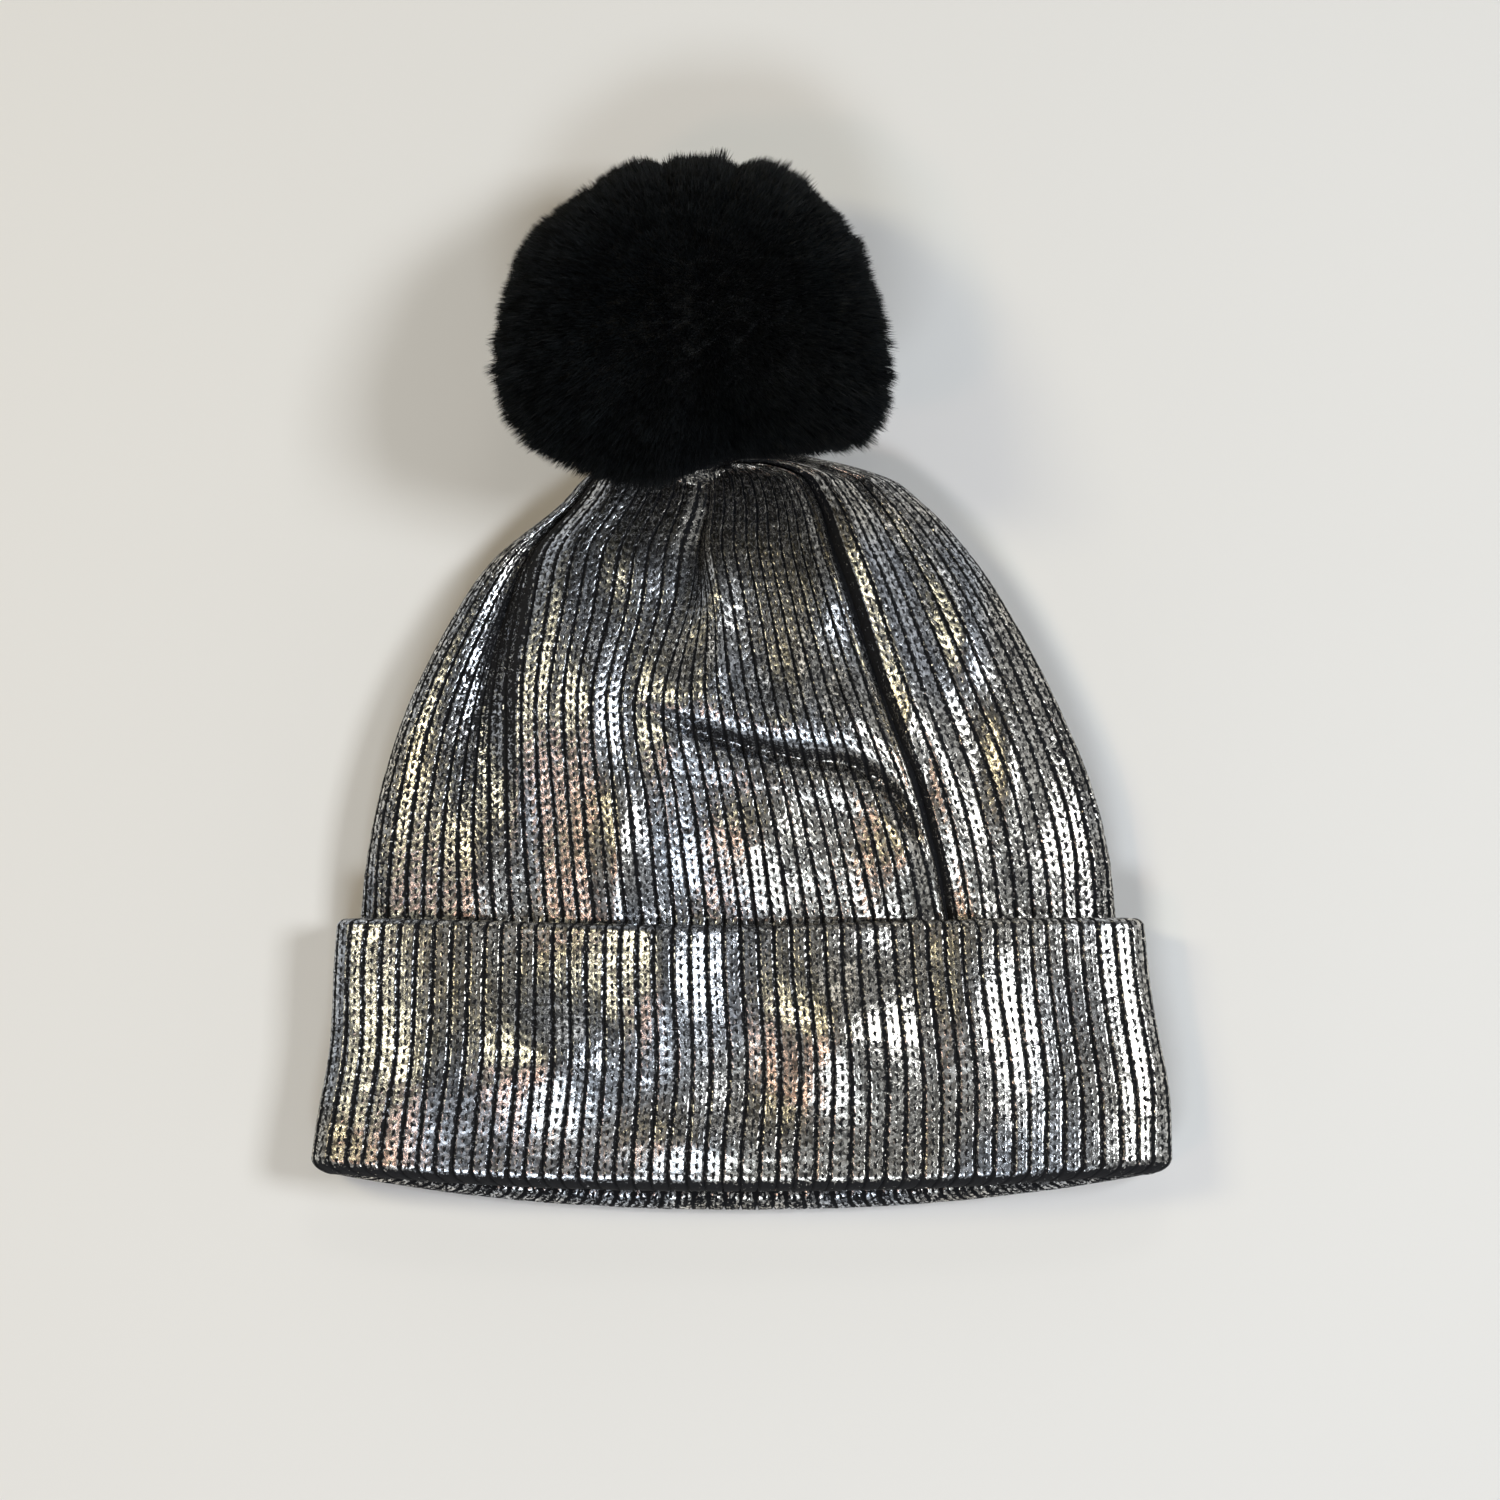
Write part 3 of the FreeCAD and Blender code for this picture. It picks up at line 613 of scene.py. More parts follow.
def tip_dome(name):
    """The drawn-in end of the knit: a ribbed dome on the pompom's axis, with a flat top."""
    ribs, per_rib, rows, radius = 18, 10, 60, 9.95 * MM
    turn = np.linspace(0, 2 * math.pi, ribs * per_rib + 1)
    tilt = np.radians(np.linspace(-30, 47, rows))
    flat_top = np.linspace(1, 0.18, 12)[1:]
    ring = np.concatenate([np.cos(tilt), np.cos(tilt[-1]) * flat_top]) * radius
    lift = np.concatenate([np.sin(tilt), np.full(len(flat_top), np.sin(tilt[-1]))]) * radius
    points = TIP + ring[:, None, None] * about_axis(turn) + lift[:, None, None] * POM_AXIS
    knit_uv = np.stack(np.broadcast_arrays((turn / (2 * math.pi) * ribs)[None, :],
                                           (np.arange(len(ring)) * 0.25)[:, None]), axis=-1)
    points = raise_knit(points, knit_uv, THIN_RELIEF, outward=-1.0)
    return grid_piece(name, points, knit_uv, np.full(points.shape[:2], 0.55), IN_FRAME)


def plied_yarn(name, core, up, thick, plies, twists):
    """Plied yarn along a line of points; up is, for each point, the direction that the plies start from."""
    ahead = unit(np.gradient(core, axis=0))
    beside = unit(np.cross(ahead, up))
    over = np.cross(beside, ahead)
    start = 2 * math.pi * np.arange(plies)[:, None] / plies
    phase = (np.linspace(0, 2 * math.pi * twists, len(core)) + start)[..., None]
    lines = core + thick / 2 * (np.cos(phase) * beside + np.sin(phase) * over)
    around = np.linspace(0, 2 * math.pi, 9)[:, None]
    rims = thick / 2 * (np.cos(around) * beside[:, None, :] + np.sin(around) * over[:, None, :])
    tubes = lines[:, :, None, :] + rims
    quads = grid_quads(len(core), len(around))
    quads = np.concatenate([quads + ply * len(core) * len(around) for ply in range(plies)])
    return new_object(name, smooth_quads(name, tubes, quads))


def yarn_ring(name, middle, radius, thick, twists):
    """A ring of two-ply yarn about the pompom's axis."""
    out = about_axis(np.linspace(0, 2 * math.pi, twists * 12 + 1))
    return plied_yarn(name, middle + out * radius, out, thick, 2, twists)


# for each seam's node, in mm: its first and last distance from the mouth, its height above the crown's outer
# side where it lies on the crown, and its least height
SEAMS = {"cuff_seam": (4, 66, None, 1.3), "back_seam": (72, 196, 0.9, 1.3),
         "lining_seam": (24, 172, 6.1, 6.6)}


def back_seam(name, first, last, above_crown, least):
    """The sewn ridge up the middle of a tube's back."""
    length = 2.65
    stitches = int((last - first) / length)
    along = np.linspace(first, last, stitches * 10 + 1)
    height = np.full(len(along), least)
    if above_crown is not None:
        station, _, low, _, _ = CROWN_STATIONS.T
        height = np.maximum(smooth_curve(station, low, along) + above_crown, least)
    sway = 0.35 * np.sin(2 * math.pi * (along - first) / length)
    core = np.stack([sway, along, height], axis=1) * MM + FROM_MOUTH
    return plied_yarn(name, core, np.tile([0.0, 0.0, 1.0], (len(along), 1)), 0.8 * MM, 2, stitches)


def felt_disc(name, node):
    """A felt washer in a node's place on the pompom's axis, with a soft rim and a matted face."""
    low, high = np.array(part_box(node))
    middle, radius = (low + high) / 2, (high[0] - low[0]) / 2
    half = ((high[2] - low[2]) / abs(POM_AXIS[2]) - 2 * radius) / 2
    rings = 24
    turn = np.linspace(0, 2 * math.pi, 145)
    face = np.linspace(0.02, 1, rings) * (radius - half)
    rim = np.linspace(0, math.pi, 9)[1:-1]
    out = np.concatenate([face, radius - half + half * np.sin(rim), face[::-1]])
    lift = np.concatenate([np.full(rings, half), half * np.cos(rim), np.full(rings, -half)])
    flat = out[:, None, None] * about_axis(turn)
    matted = 0.12 * MM * value_noise(flat[..., 0] / MM + 20, flat @ BACKWARD / MM + 20, 12)
    points = middle + flat + (lift[:, None] + matted * np.sign(lift)[:, None])[..., None] * POM_AXIS
    return plain_piece(name, points)


def label_piece(name):
    """The blank care label: a satin ribbon sewn down along one end, which curls slightly at the other."""
    low, high = np.array(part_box("care_label"))
    across, along = np.meshgrid(np.linspace(0, 1, 40), np.linspace(0, 1, 40))
    lift = 0.2 * MM + 0.5 * MM * along ** 2 + 0.15 * MM * np.sin(5 * across + 2 * along)
    points = np.stack([low[0] + across * (high[0] - low[0]), low[1] + (1 - along) * (high[1] - low[1]),
                       low[2] + lift], axis=-1)
    return grid_piece(name, points, np.stack([across, along], axis=-1), np.zeros(across.shape), IN_FRAME)


# -------- pompom

FUR_RADIUS = (FUR_HIGH[0] - FUR_LOW[0]) / 2
FUR_POLAR = 38.0 * MM         # the fur's half height along the pompom's axis
PARTING = 15.5 * MM           # radius of the gap in the fur around the snap
PARTING_FLOOR = -29.5 * MM    # where the gap ends, along the pompom's axis
HAIR_ROOT = 0.80              # share of the fur's outline at which the hairs start
TUFTS = 1500


def pom_frame(local):
    """Points given across, backward and along the pompom's axis, in the frame and never under the table."""
    placed = POM_MIDDLE + local @ POM_WAYS
    placed[..., 2] = np.maximum(placed[..., 2], 0.4 * MM)
    return placed


# the fur's outline seen from above: bearing from straight ahead, and reach as a share of the plain egg's
FUR_OUTLINE = ([-180, -172, -150, -136, -113, -90, -62, -38, -15, 8, 24, 45, 75, 110, 131, 150, 170, 180],
               [1.0, 1.10, 1.15, 1.18, 1.05, 0.96, 0.95, 0.95, 1.00, 1.00, 1.03, 0.98, 0.93, 1.04, 1.20, 1.05,
                0.95, 1.0])


def fur_swell(direction):
    """The fur's outline as a share of its plain egg: fuller over the crown, lumpy, parted at its far end."""
    lumps = 0.015 * np.sin(3.1 * direction[:, 0] * math.pi + 1.0) * np.cos(2.3 * direction[:, 1] * math.pi)
    lumps += 0.012 * np.sin(5.3 * direction[:, 1] + 4.1 * direction[:, 2] + 0.6)
    world = direction @ POM_WAYS
    bearing = np.degrees(np.arctan2(world[:, 0], world[:, 1]))
    sideways = ease(0.35, 0.95, np.hypot(world[:, 0], world[:, 1]))
    lumps += (smooth_curve(*FUR_OUTLINE, bearing) - 1) * sideways * ease(-0.75, -0.1, world[:, 2])
    far = ease(0.35, 0.9, world[:, 1])
    lumps -= 0.05 * bump(bearing, -9.0, 3.4) * far
    lumps -= 0.05 * bump(bearing, 14.0, 3.0) * far
    return 1.0 + lumps


def even_directions(count):
    """Directions spread evenly over a sphere."""
    index = np.arange(count) + 0.5
    height = 1 - 2 * index / count
    turn = math.pi * (1 + 5 ** 0.5) * index
    flat = np.sqrt(1 - height * height)
    return np.stack([flat * np.cos(turn), flat * np.sin(turn), height], axis=1)


def fur_points(direction, share):
    """Points on the fur's outline, or at a share of the way to it from the middle."""
    size = np.array([FUR_RADIUS, FUR_RADIUS, FUR_POLAR])
    return direction * size * (fur_swell(direction) * share)[:, None]


def pom_core(name):
    """The dense fur below the tips: a lumpy egg with a hollow where it is parted around the snap."""
    rows, columns = 120, 240
    tilt, turn = np.meshgrid(np.linspace(0.02, math.pi - 0.02, rows), np.linspace(0, 2 * math.pi, columns),
                             indexing="ij")
    direction = np.stack([np.sin(tilt) * np.cos(turn), np.sin(tilt) * np.sin(turn), np.cos(tilt)], axis=2)
    direction = direction.reshape(-1, 3)
    lumps = value_noise(direction[:, 0] * 14 + 20, direction[:, 1] * 14 + direction[:, 2] * 9 + 30, 8)
    local = fur_points(direction, 0.90 + 0.012 * lumps)
    reach = np.hypot(local[:, 0], local[:, 1])
    push = ease(PARTING + 2 * MM, PARTING - 3 * MM, reach) * (local[:, 2] < PARTING_FLOOR)
    local[:, 2] += push * (PARTING_FLOOR - local[:, 2])
    return plain_piece(name, pom_frame(local).reshape(rows, columns, 3))


def hair_lines(strands, random):
    """Each hair's root, bend and tip; the hairs are drawn together into small tufts."""
    direction = unit(even_directions(strands) + random.normal(0, 0.012, (strands, 3)))
    tufts = unit(even_directions(TUFTS) + random.normal(0, 0.02, (TUFTS, 3)))
    nearest = np.concatenate([np.argmax(part @ tufts.T, axis=1) for part in np.array_split(direction, 40)])
    pull = random.uniform(0.15, 0.75, strands)[:, None]
    aim = unit(direction * (1 - pull) + tufts[nearest] * pull + random.normal(0, 0.02, direction.shape))
    tuft_length = random.normal(0, 0.016, TUFTS)[nearest]
    length = 0.985 + tuft_length - np.abs(random.normal(0, 0.022, strands))
    root, tip = fur_points(direction, np.full(strands, HAIR_ROOT)), fur_points(aim, length)
    bend = (root * 0.45 + tip * 0.55) + random.normal(0, 0.35 * MM, root.shape)
    keep = ~((np.hypot(tip[:, 0], tip[:, 1]) < PARTING) & (tip[:, 2] < 0))
    return root[keep], bend[keep], tip[keep]


def fur_piece(name, strands, seed):
    """Tapered hairs that end on the fur's outline, each a quad up to its bend and a triangle to its tip."""
    random = np.random.default_rng(seed)
    root, bend, tip = hair_lines(strands, random)
    count = len(root)
    width = random.normal(size=(count, 3))
    width -= (width * tip).sum(1, keepdims=True) * tip / (tip * tip).sum(1, keepdims=True)
    half = unit(width) * (random.uniform(0.16, 0.26, count)[:, None] * MM)
    local = np.stack([root - half, root + half, bend - half * 0.8, bend + half * 0.8, tip], axis=1)
    base = np.arange(count)[:, None] * 5
    loops = np.concatenate([base + np.array([[0, 1, 3, 2]]), base + np.array([[2, 3, 4]])], axis=1)
    starts = np.arange(count)[:, None] * 7 + np.array([[0, 4]])
    mesh = new_mesh(name, pom_frame(local.reshape(-1, 3)), loops, starts)
    mesh.validate()
    return new_object(name, mesh)


# -------- materials

class Nodes:
    """Short ways to build a node tree."""

    def __init__(self, name, world=False):
        self.owner = bpy.data.worlds.new(name) if world else bpy.data.materials.new(name)
        self.owner.use_nodes = True
        self.tree = self.owner.node_tree
        self.shader = self.tree.nodes["Background" if world else "Principled BSDF"]

    def add(self, kind, **inputs):
        """A new node; in the names of its inputs, _ stands for a blank."""
        node = self.tree.nodes.new(kind)
        for key, value in inputs.items():
            self.set(node.inputs[key.replace("_", " ")], value)
        return node

    def set(self, socket, value):
        if isinstance(value, bpy.types.NodeSocket):
            self.tree.links.new(value, socket)
        else:
            socket.default_value = value

    def shade(self, **inputs):
        """Sets the shader's inputs, with _ for a blank."""
        for key, value in inputs.items():
            self.set(self.shader.inputs[key.replace("_", " ")], value)

    def place(self):
        return self.add("ShaderNodeTexCoord").outputs["Object"]

    def math(self, operation, *values):
        node = self.tree.nodes.new("ShaderNodeMath")
        node.operation = operation
        for socket, value in zip(node.inputs, values):
            self.set(socket, value)
        return node.outputs[0]

    def times(self, first, second):
        return self.math("MULTIPLY", first, second)

    def minus(self, first, second):
        return self.math("SUBTRACT", first, second)

    def ramp(self, value, low, high, to_low=0.0, to_high=1.0):
        node = self.add("ShaderNodeMapRange")
        node.interpolation_type = "SMOOTHSTEP"
        sockets = ("Value", "From Min", "From Max", "To Min", "To Max")
        for key, item in zip(sockets, (value, low, high, to_low, to_high)):
            self.set(node.inputs[key], item)
        return node.outputs["Result"]

    def mix(self, factor, first, second, blend="MIX"):
        node = self.tree.nodes.new("ShaderNodeMix")
        node.data_type = "RGBA"
        node.blend_type = blend
        for index, value in zip((0, 6, 7), (factor, first, second)):
            self.set(node.inputs[index], value)
        return node.outputs[2]

    def noise(self, vector, scale, detail=2.0, roughness=0.5):
        node = self.add("ShaderNodeTexNoise", Vector=vector, Scale=scale, Detail=detail, Roughness=roughness)
        return node.outputs["Fac"]

    def bump(self, height, distance, strength=1.0, normal=None):
        node = self.add("ShaderNodeBump", Height=height, Distance=distance, Strength=strength)
        if normal is not None:
            self.set(node.inputs["Normal"], normal)
        return node.outputs["Normal"]


def colour(red, green, blue):
    return (red, green, blue, 1.0)


BLACK = colour(0.004, 0.004, 0.005)


def knit_nodes(nodes, turn):
    """The knit's raised columns, lobes and pits from its own UVs, as in knit_relief."""
    uv = nodes.add("ShaderNodeUVMap")
    uv.uv_map = "Knit"
    parts = nodes.add("ShaderNodeSeparateXYZ", Vector=uv.outputs["UV"])
    rib, course = parts.outputs["X"], parts.outputs["Y"]
    across = nodes.math("ABSOLUTE", nodes.minus(nodes.math("FRACT", rib), 0.5))
    slant = nodes.minus(course, nodes.times(across, STITCH_SLANT * turn))
    lobe = nodes.math("ABSOLUTE", nodes.math("SINE", nodes.times(slant, math.pi)))
    edge = nodes.minus(across, nodes.times(nodes.minus(lobe, 0.5), 0.09))
    frayed = nodes.times(nodes.minus(nodes.noise(nodes.place(), 950.0), 0.5), 0.36)
    crest = nodes.ramp(nodes.math("ADD", edge, frayed), 0.295, 0.385, 1.0, 0.0)
    pit = nodes.times(nodes.ramp(across, 0.02, 0.13, 1.0, 0.0), nodes.ramp(lobe, 0.40, 0.95, 1.0, 0.15))
    return crest, lobe, pit


def foil_cover(nodes, crest, pit):
    """Where foil lies: on the raised stitches, unless it is worn off or the mesh's foil amount is low. That
    low amount is partly real unfoiled knit and partly painted shade in the pleats' hollows, with a painted
    shadow line along the cuff's top edge.
    """
    place = nodes.place()
    foil = nodes.add("ShaderNodeAttribute")
    foil.attribute_name = "foil"
    solid = nodes.times(crest, nodes.minus(1.0, nodes.times(pit, 0.95)))
    crackle = nodes.times(nodes.minus(nodes.noise(place, 1300.0, 3.0, 0.6), 0.47), 3.6)
    broad = nodes.times(nodes.minus(nodes.noise(place, 300.0), 0.5), 1.2)
    bare_and_painted_shade = nodes.times(nodes.minus(1.0, foil.outputs["Fac"]), 1.15)
    level = nodes.minus(nodes.math("ADD", solid, nodes.math("ADD", crackle, broad)), bare_and_painted_shade)
    return nodes.ramp(level, 0.55, 0.78)


def foil_colour(nodes):
    """Cool to warm silver, lighter and darker from one flake to the next."""
    place = nodes.place()
    tint = nodes.ramp(nodes.noise(place, 21.0, 1.0, 0.4), 0.42, 0.62)
    silver = nodes.mix(tint, colour(0.60, 0.63, 0.68), colour(0.68, 0.655, 0.60))
    flake = nodes.add("ShaderNodeTexVoronoi", Vector=place, Scale=1250.0)
    grey = nodes.add("ShaderNodeSeparateColor", Color=flake.outputs["Color"]).outputs[0]
    flicker = nodes.ramp(grey, 0.05, 1.0, 0.26, 1.24)
    shade = nodes.add("ShaderNodeCombineColor", Red=flicker, Green=flicker, Blue=flicker)
    return nodes.mix(1.0, silver, shade.outputs[0], "MULTIPLY")


def foil_knit_material(name, turn):
    """Black rib knit under a crinkled silver foil, which has cracked off all but the raised stitches."""
    nodes = Nodes(name)
    crest, lobe, pit = knit_nodes(nodes, turn)
    cover = foil_cover(nodes, crest, pit)
    place = nodes.place()
    yarn = nodes.mix(nodes.noise(place, 900.0, 3.0), BLACK, colour(0.014, 0.015, 0.018))
    stitch = nodes.bump(nodes.minus(nodes.times(lobe, 0.3), pit), 0.10 * MM, 0.5)
    crumple = nodes.bump(nodes.noise(place, 1000.0, 3.0, 0.65), 0.10 * MM, 0.5, stitch)
    nodes.shade(Base_Color=nodes.mix(cover, yarn, foil_colour(nodes)), Metallic=cover,
                Roughness=nodes.ramp(cover, 0.0, 1.0, 0.9, 0.27), Normal=crumple, Specular_IOR_Level=0.25)
    return nodes.owner


def black_knit_material(name):
    """The same rib knit, black and without foil, with painted shade: its hollows are painted darker than its
    raised stitches.
    """
    nodes = Nodes(name)
    crest, lobe, _ = knit_nodes(nodes, 1.0)
    height = nodes.times(crest, nodes.ramp(lobe, 0.0, 1.0, 0.5, 1.0))
    fibre = nodes.noise(nodes.place(), 1400.0, 4.0, 0.65)
    # painted shade: lighter on the raised stitches, black down in the hollows
    shade = nodes.times(height, nodes.ramp(fibre, 0.2, 0.9, 0.35, 1.0))
    nodes.shade(Base_Color=nodes.mix(shade, BLACK, colour(0.034, 0.034, 0.037)),
                Normal=nodes.bump(fibre, 0.25 * MM, 0.7, nodes.bump(height, 0.4 * MM, 0.8)),
                Roughness=0.9, Sheen_Weight=0.35)
    return nodes.owner


def fibre_material(name, dark, light, scale):
    """Felt, yarn or stuffing: matted fibres."""
    nodes = Nodes(name)
    place = nodes.place()
    fibre = nodes.noise(place, scale, 5.0, 0.7)
    blotch = nodes.ramp(nodes.noise(place, scale * 0.12), 0.2, 0.8, 0.6, 1.0)
    amount = nodes.times(nodes.ramp(fibre, 0.3, 0.75), blotch)
    nodes.shade(Base_Color=nodes.mix(amount, dark, light), Normal=nodes.bump(fibre, 0.3 * MM, 0.8),
                Roughness=0.9, Sheen_Weight=0.3)
    return nodes.owner


def fur_material(name, light, rough_hair):
    """Black fur, up to a faint cool sheen; rough_hair shows hairs on a surface that has none of its own."""
    nodes = Nodes(name)
    place = nodes.place()
    tuft = nodes.ramp(nodes.noise(place, 120.0), 0.3, 0.7, 0.4, 1.0)
    hair = nodes.noise(place, 2200.0)
    amount = nodes.times(tuft, nodes.ramp(hair, 0.3, 0.7, 0.3, 1.0))
    nodes.shade(Base_Color=nodes.mix(amount, colour(0.0012, 0.0016, 0.0021), light), Roughness=0.52,
                Specular_IOR_Level=0.2)
    if rough_hair:
        nodes.shade(Normal=nodes.bump(hair, 0.8 * MM))
    return nodes.owner


def metal_material(name, dark, light, roughness):
    """Plated or drawn metal, slightly tarnished and scratched."""
    nodes = Nodes(name)
    place = nodes.place()
    tarnish = nodes.ramp(nodes.noise(place, 420.0, 3.0), 0.3, 0.7)
    scratch = nodes.noise(place, 2600.0)
    nodes.shade(Base_Color=nodes.mix(tarnish, dark, light), Metallic=1.0,
                Roughness=nodes.ramp(scratch, 0.2, 0.8, roughness - 0.08, roughness + 0.1),
                Normal=nodes.bump(scratch, 0.03 * MM, 0.4))
    return nodes.owner


def satin_material(name):
    """Off-white satin, with threads that run across the ribbon."""
    nodes = Nodes(name)
    drawn = nodes.add("ShaderNodeMapping", Vector=nodes.place(), Scale=(1, 6, 1))
    thread = nodes.noise(drawn.outputs[0], 1500.0)
    nodes.shade(Base_Color=nodes.mix(thread, colour(0.60, 0.58, 0.55), colour(0.80, 0.79, 0.76)),
                Normal=nodes.bump(thread, 0.1 * MM, 0.5), Roughness=0.38)
    return nodes.owner


def put_material(piece, material):
    if not piece.data.materials:
        piece.data.materials.append(material)
    for slot in piece.material_slots:
        slot.material = material


def dress(piece, material, node, body):
    """Gives a piece its material, hides the CAD node that it stands for and attaches it to the body that it
    rides on.
    """
    put_material(piece, material)
    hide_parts(node)
    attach(piece, body)


# -------- the object

def build_cuff(black_knit):
    """The cuff's outer plies, front and back, and its backing."""
    foil_up = foil_knit_material("foil_knit_turned_up", -1.0)
    fine = {"tuck": 6, "top": 10, "outside": 150, "lip": 22, "inside": 16}
    coarse = {"tuck": 4, "top": 8, "outside": 100, "lip": 18, "inside": 16}
    front = cuff_piece("cuff_front", 1, 9, fine)
    back = cuff_piece("cuff_back", -1, 6, coarse)
    for piece, under in ((front, "cuff_backing_front"), (back, "cuff_backing_back")):
        dress(piece, foil_up, "cuff", "hat")
    backings = (("cuff_backing_front", 1, "crown_front_left"), ("cuff_backing_back", -1, "cuff_back"))
    for name, side, under in backings:
        piece = backing_piece(name, side, 5, 34)
        dress(piece, black_knit, "cuff_backing", "hat")


def build_crown(black_knit):
    """The shell in three parts, the lining in two, and the blank care label on the lining."""
    foil_down = foil_knit_material("foil_knit_crown", 1.0)
    half = RIB_COUNT // 2
    left = crown_piece("crown_front_left", 1, 0, half, 10, 330)
    right = crown_piece("crown_front_right", 1, half, RIB_COUNT, 10, 330)
    back = crown_piece("crown_back", -1, 0, RIB_COUNT, 6, 210)
    for piece, wide, under in ((left, 0.160, "lining_front"), (right, 0.160, "lining_front"),
                               (back, 0.300, "cuff_backing_back")):
        dress(piece, foil_down, "crown_shell", "hat")
    for name, side, under in (("lining_front", 1, "lining_back"), ("lining_back", -1, "crown_back")):
        piece = lining_piece(name, side, 5, 70)
        dress(piece, black_knit, "crown_lining", "hat")
    label = label_piece("care_label_ribbon")
    dress(label, satin_material("label_satin"), "care_label", "hat")


def build_seams(yarn):
    for node, sizes in SEAMS.items():
        dress(back_seam(f"{node}_yarn", *sizes), yarn, node, "hat")


def build_tip(yarn, felt):
    """The gathered tip, its yarn, the felt inside it, and the press snap."""
    dome = tip_dome("crown_tip_knit")
    dress(dome, foil_knit_material("foil_knit_tip", 1.0), "crown_tip", "tip")
    ring = yarn_ring("gather_yarn_plied", TIP, 11.0 * MM, 0.7 * MM, 26)
    dress(ring, yarn, "gather_yarn", "gather_ring")
    dress(felt_disc("tip_patch_felt", "tip_patch"), felt, "tip_patch", "tip")
    nickel = metal_material("dark_nickel", colour(0.22, 0.22, 0.23), colour(0.42, 0.42, 0.43), 0.3)
    for node in ("snap_cap", "snap_socket", "snap_stud", "snap_eyelet"):
        put_material(bpy.data.objects[node], nickel)
    put_material(bpy.data.objects["snap_spring"],
                 metal_material("spring_steel", colour(0.5, 0.5, 0.5), colour(0.7, 0.7, 0.69), 0.22))


def build_pompom(yarn, felt):
    """The pompom's base, tie, skin and stuffing, the dense fur over them, and the hairs."""
    dress(felt_disc("pom_base_felt", "pom_base"), felt, "pom_base", "pompom")
    tie = yarn_ring("pom_tie_plied", np.mean(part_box("pom_tie"), axis=0), 13.7 * MM, 0.5 * MM, 40)
    dress(tie, yarn, "pom_tie", "pompom")
    put_material(bpy.data.objects["pom_skin"], fibre_material(
        "fur_backing", BLACK, colour(0.026, 0.027, 0.030), 1300.0))
    put_material(bpy.data.objects["pom_stuffing"], fibre_material(
        "fibre_fill", colour(0.55, 0.55, 0.53), colour(0.82, 0.82, 0.80), 500.0))
    core = pom_core("pom_under_fur")
    under_fur = fur_material("under_fur", colour(0.003, 0.0038, 0.0044), True)
    dress(core, under_fur, "pom_fur", "pompom")
    hair = fur_material("fur", colour(0.012, 0.0150, 0.0168), False)
    for number in range(3):
        piece = fur_piece(f"pom_fur_{number + 1}", 60000, 11 + number)
        dress(piece, hair, "pom_fur", "pompom")


# -------- studio

VIEWED = np.array([2.65, 117.5, 12.0]) * MM + FROM_MOUTH     # the point that camera and lights look at
CAMERA_DISTANCE = 0.988
CAMERA_TIPPED = math.radians(6)       # from straight above, towards the mouth
FLOOR_HALF = 12.0

# name, place from the viewed point, size (all m), power (W) and colour
LIGHTS = [
    ("key", (0.78, 0.05, 1.20), (0.36, 0.36), 9.0, (0.94, 0.97, 1.0)),
    ("left", (-0.80, 0.25, 1.20), (0.24, 0.44), 4.5, (1.0, 0.88, 0.58)),
    ("near", (-0.10, -0.78, 1.20), (0.44, 0.26), 6.0, (0.86, 0.93, 1.0)),
    ("rose", (-0.60, -0.50, 1.30), (0.16, 0.16), 1.4, (1.0, 0.62, 0.46)),
    ("far", (0.10, 0.90, 1.15), (0.3, 0.2), 0.8, (1.0, 0.96, 0.88)),
]


def area_light(name, offset, size, power, tint):
    data = bpy.data.lights.new(name, "AREA")
    data.shape = "RECTANGLE"
    data.size, data.size_y = size
    data.energy = power
    data.color = tint
    light = new_object(name, data)
    light.location = VIEWED + offset
    way = -np.array(offset)
    tipped = math.acos(-way[2] / np.linalg.norm(way))
    light.rotation_euler = (tipped, 0.0, math.atan2(way[0], -way[1]) + math.pi)


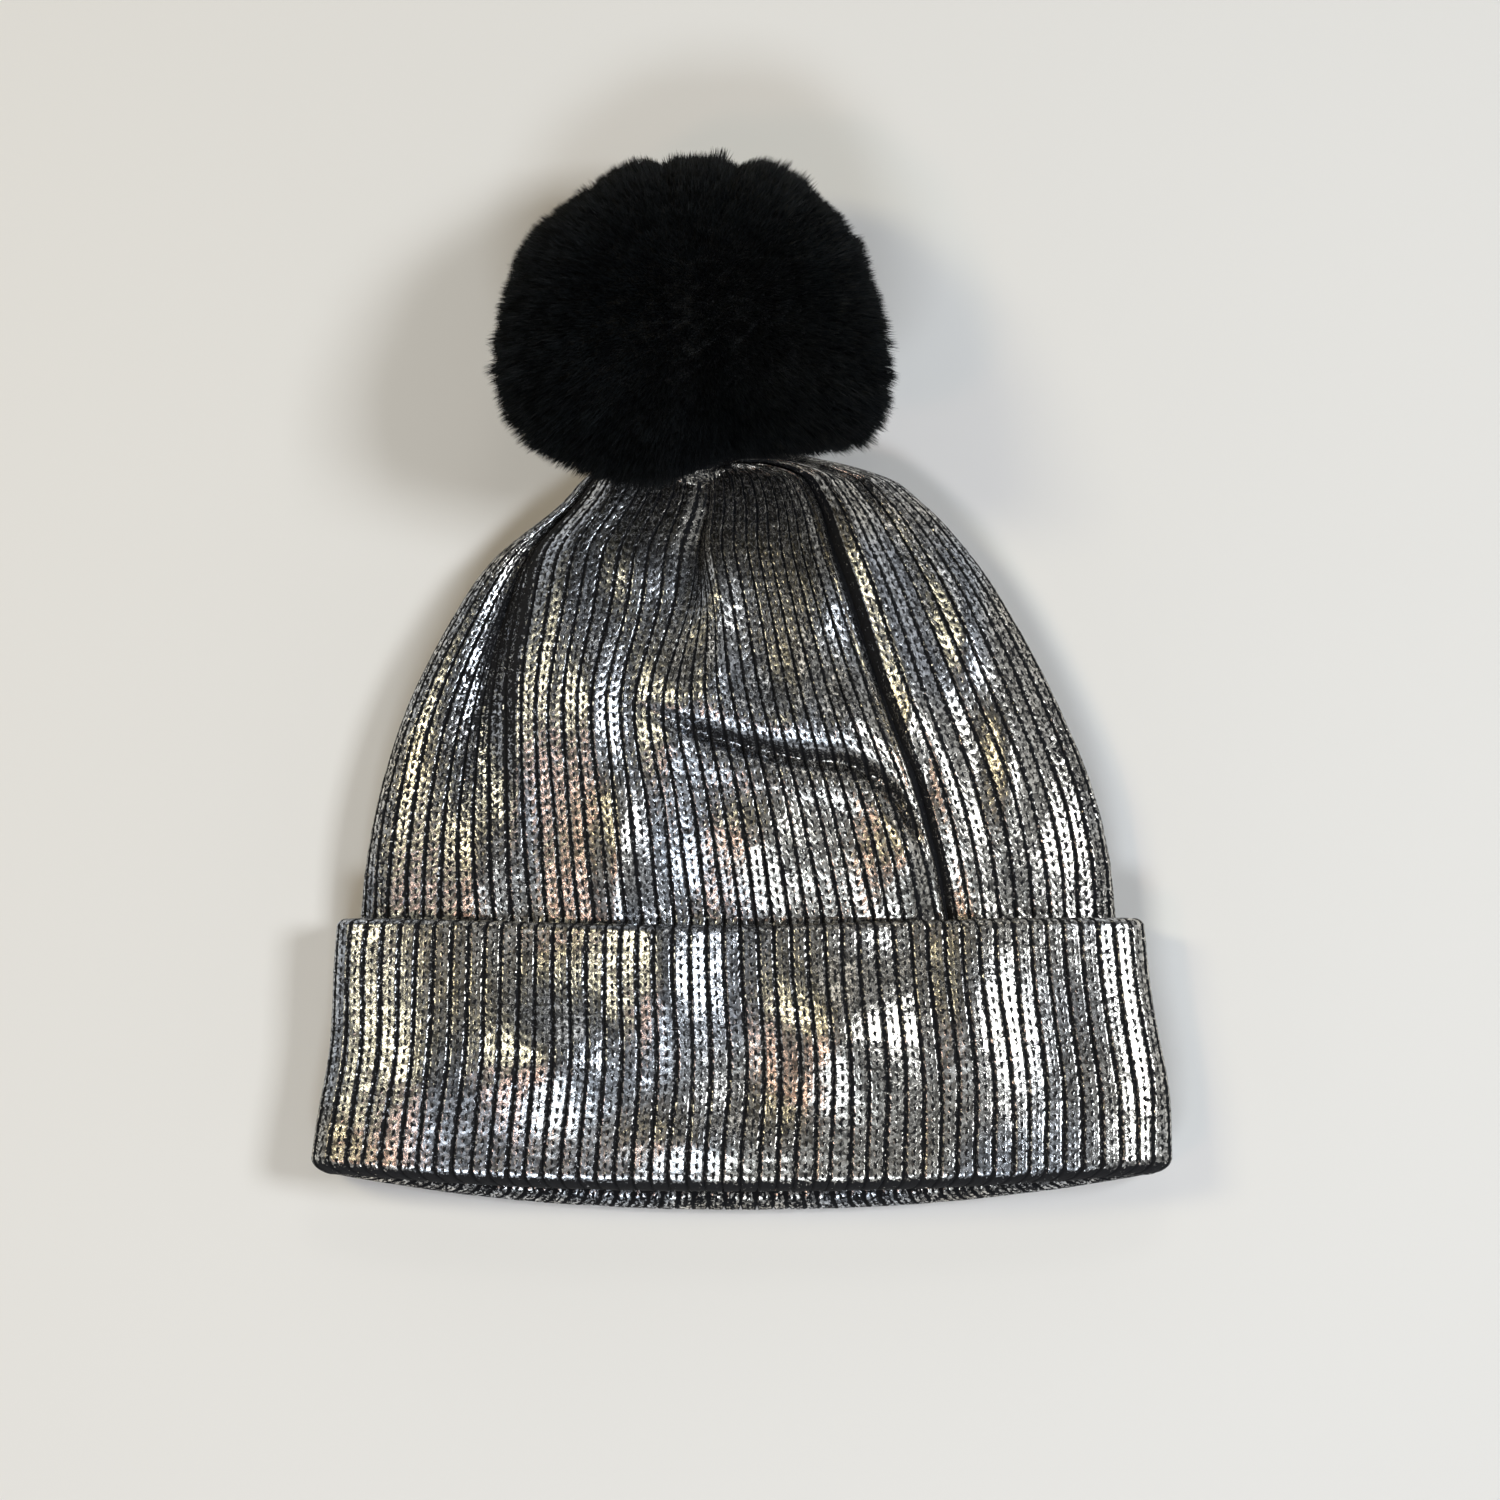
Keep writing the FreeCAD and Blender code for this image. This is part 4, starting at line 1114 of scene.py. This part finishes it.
def build_floor():
    """A wide pale sheet, which glows a little far from the object so that its far edge stays light."""
    corners = np.array([(-1, -1, 0), (1, -1, 0), (1, 1, 0), (-1, 1, 0)]) * FLOOR_HALF
    floor = new_object("floor", new_mesh("floor", corners, np.arange(4), np.array([0])))
    paper = Nodes("pale_floor")
    place = paper.place()
    far = paper.add("ShaderNodeVectorMath", Vector=place)
    far.operation = "LENGTH"
    blotch = paper.noise(place, 3.0)
    paper.shade(Base_Color=paper.mix(blotch, colour(0.80, 0.795, 0.78), colour(0.83, 0.825, 0.81)),
                Roughness=0.85, Emission_Color=colour(1.0, 0.99, 0.97),
                Emission_Strength=paper.ramp(far.outputs["Value"], 0.35, 1.9, 0.0, 0.5))
    put_material(floor, paper.owner)


def build_camera():
    data = bpy.data.cameras.new("camera")
    data.lens = 85.0
    camera = new_object("camera", data)
    away = np.array([0.0, -math.sin(CAMERA_TIPPED), math.cos(CAMERA_TIPPED)])
    camera.location = VIEWED + CAMERA_DISTANCE * away
    camera.rotation_euler = (CAMERA_TIPPED, 0, 0)
    bpy.context.scene.camera = camera


def build_world():
    """A pale room, brightest near the horizon and dark overhead, where the lamps are."""
    room = Nodes("room", world=True)
    way = room.add("ShaderNodeTexCoord").outputs["Generated"]
    height = room.add("ShaderNodeSeparateXYZ", Vector=way).outputs["Z"]
    room.shade(Strength=room.ramp(height, 0.05, 0.80, 0.66, 0.05), Color=colour(0.96, 0.98, 1.0))
    bpy.context.scene.world = room.owner


def build_object():
    black_yarn = fibre_material("yarn", BLACK, colour(0.030, 0.031, 0.034), 1600.0)
    felt = fibre_material("black_felt", colour(0.004, 0.004, 0.004), colour(0.024, 0.024, 0.026), 1900.0)
    black_knit = black_knit_material("black_knit")
    build_cuff(black_knit)
    build_crown(black_knit)
    build_seams(black_yarn)
    build_tip(black_yarn, felt)
    build_pompom(black_yarn, felt)


bpy.context.scene.view_settings.view_transform = "Standard"
build_floor()
build_camera()
for light in LIGHTS:
    area_light(*light)
build_world()
build_object()
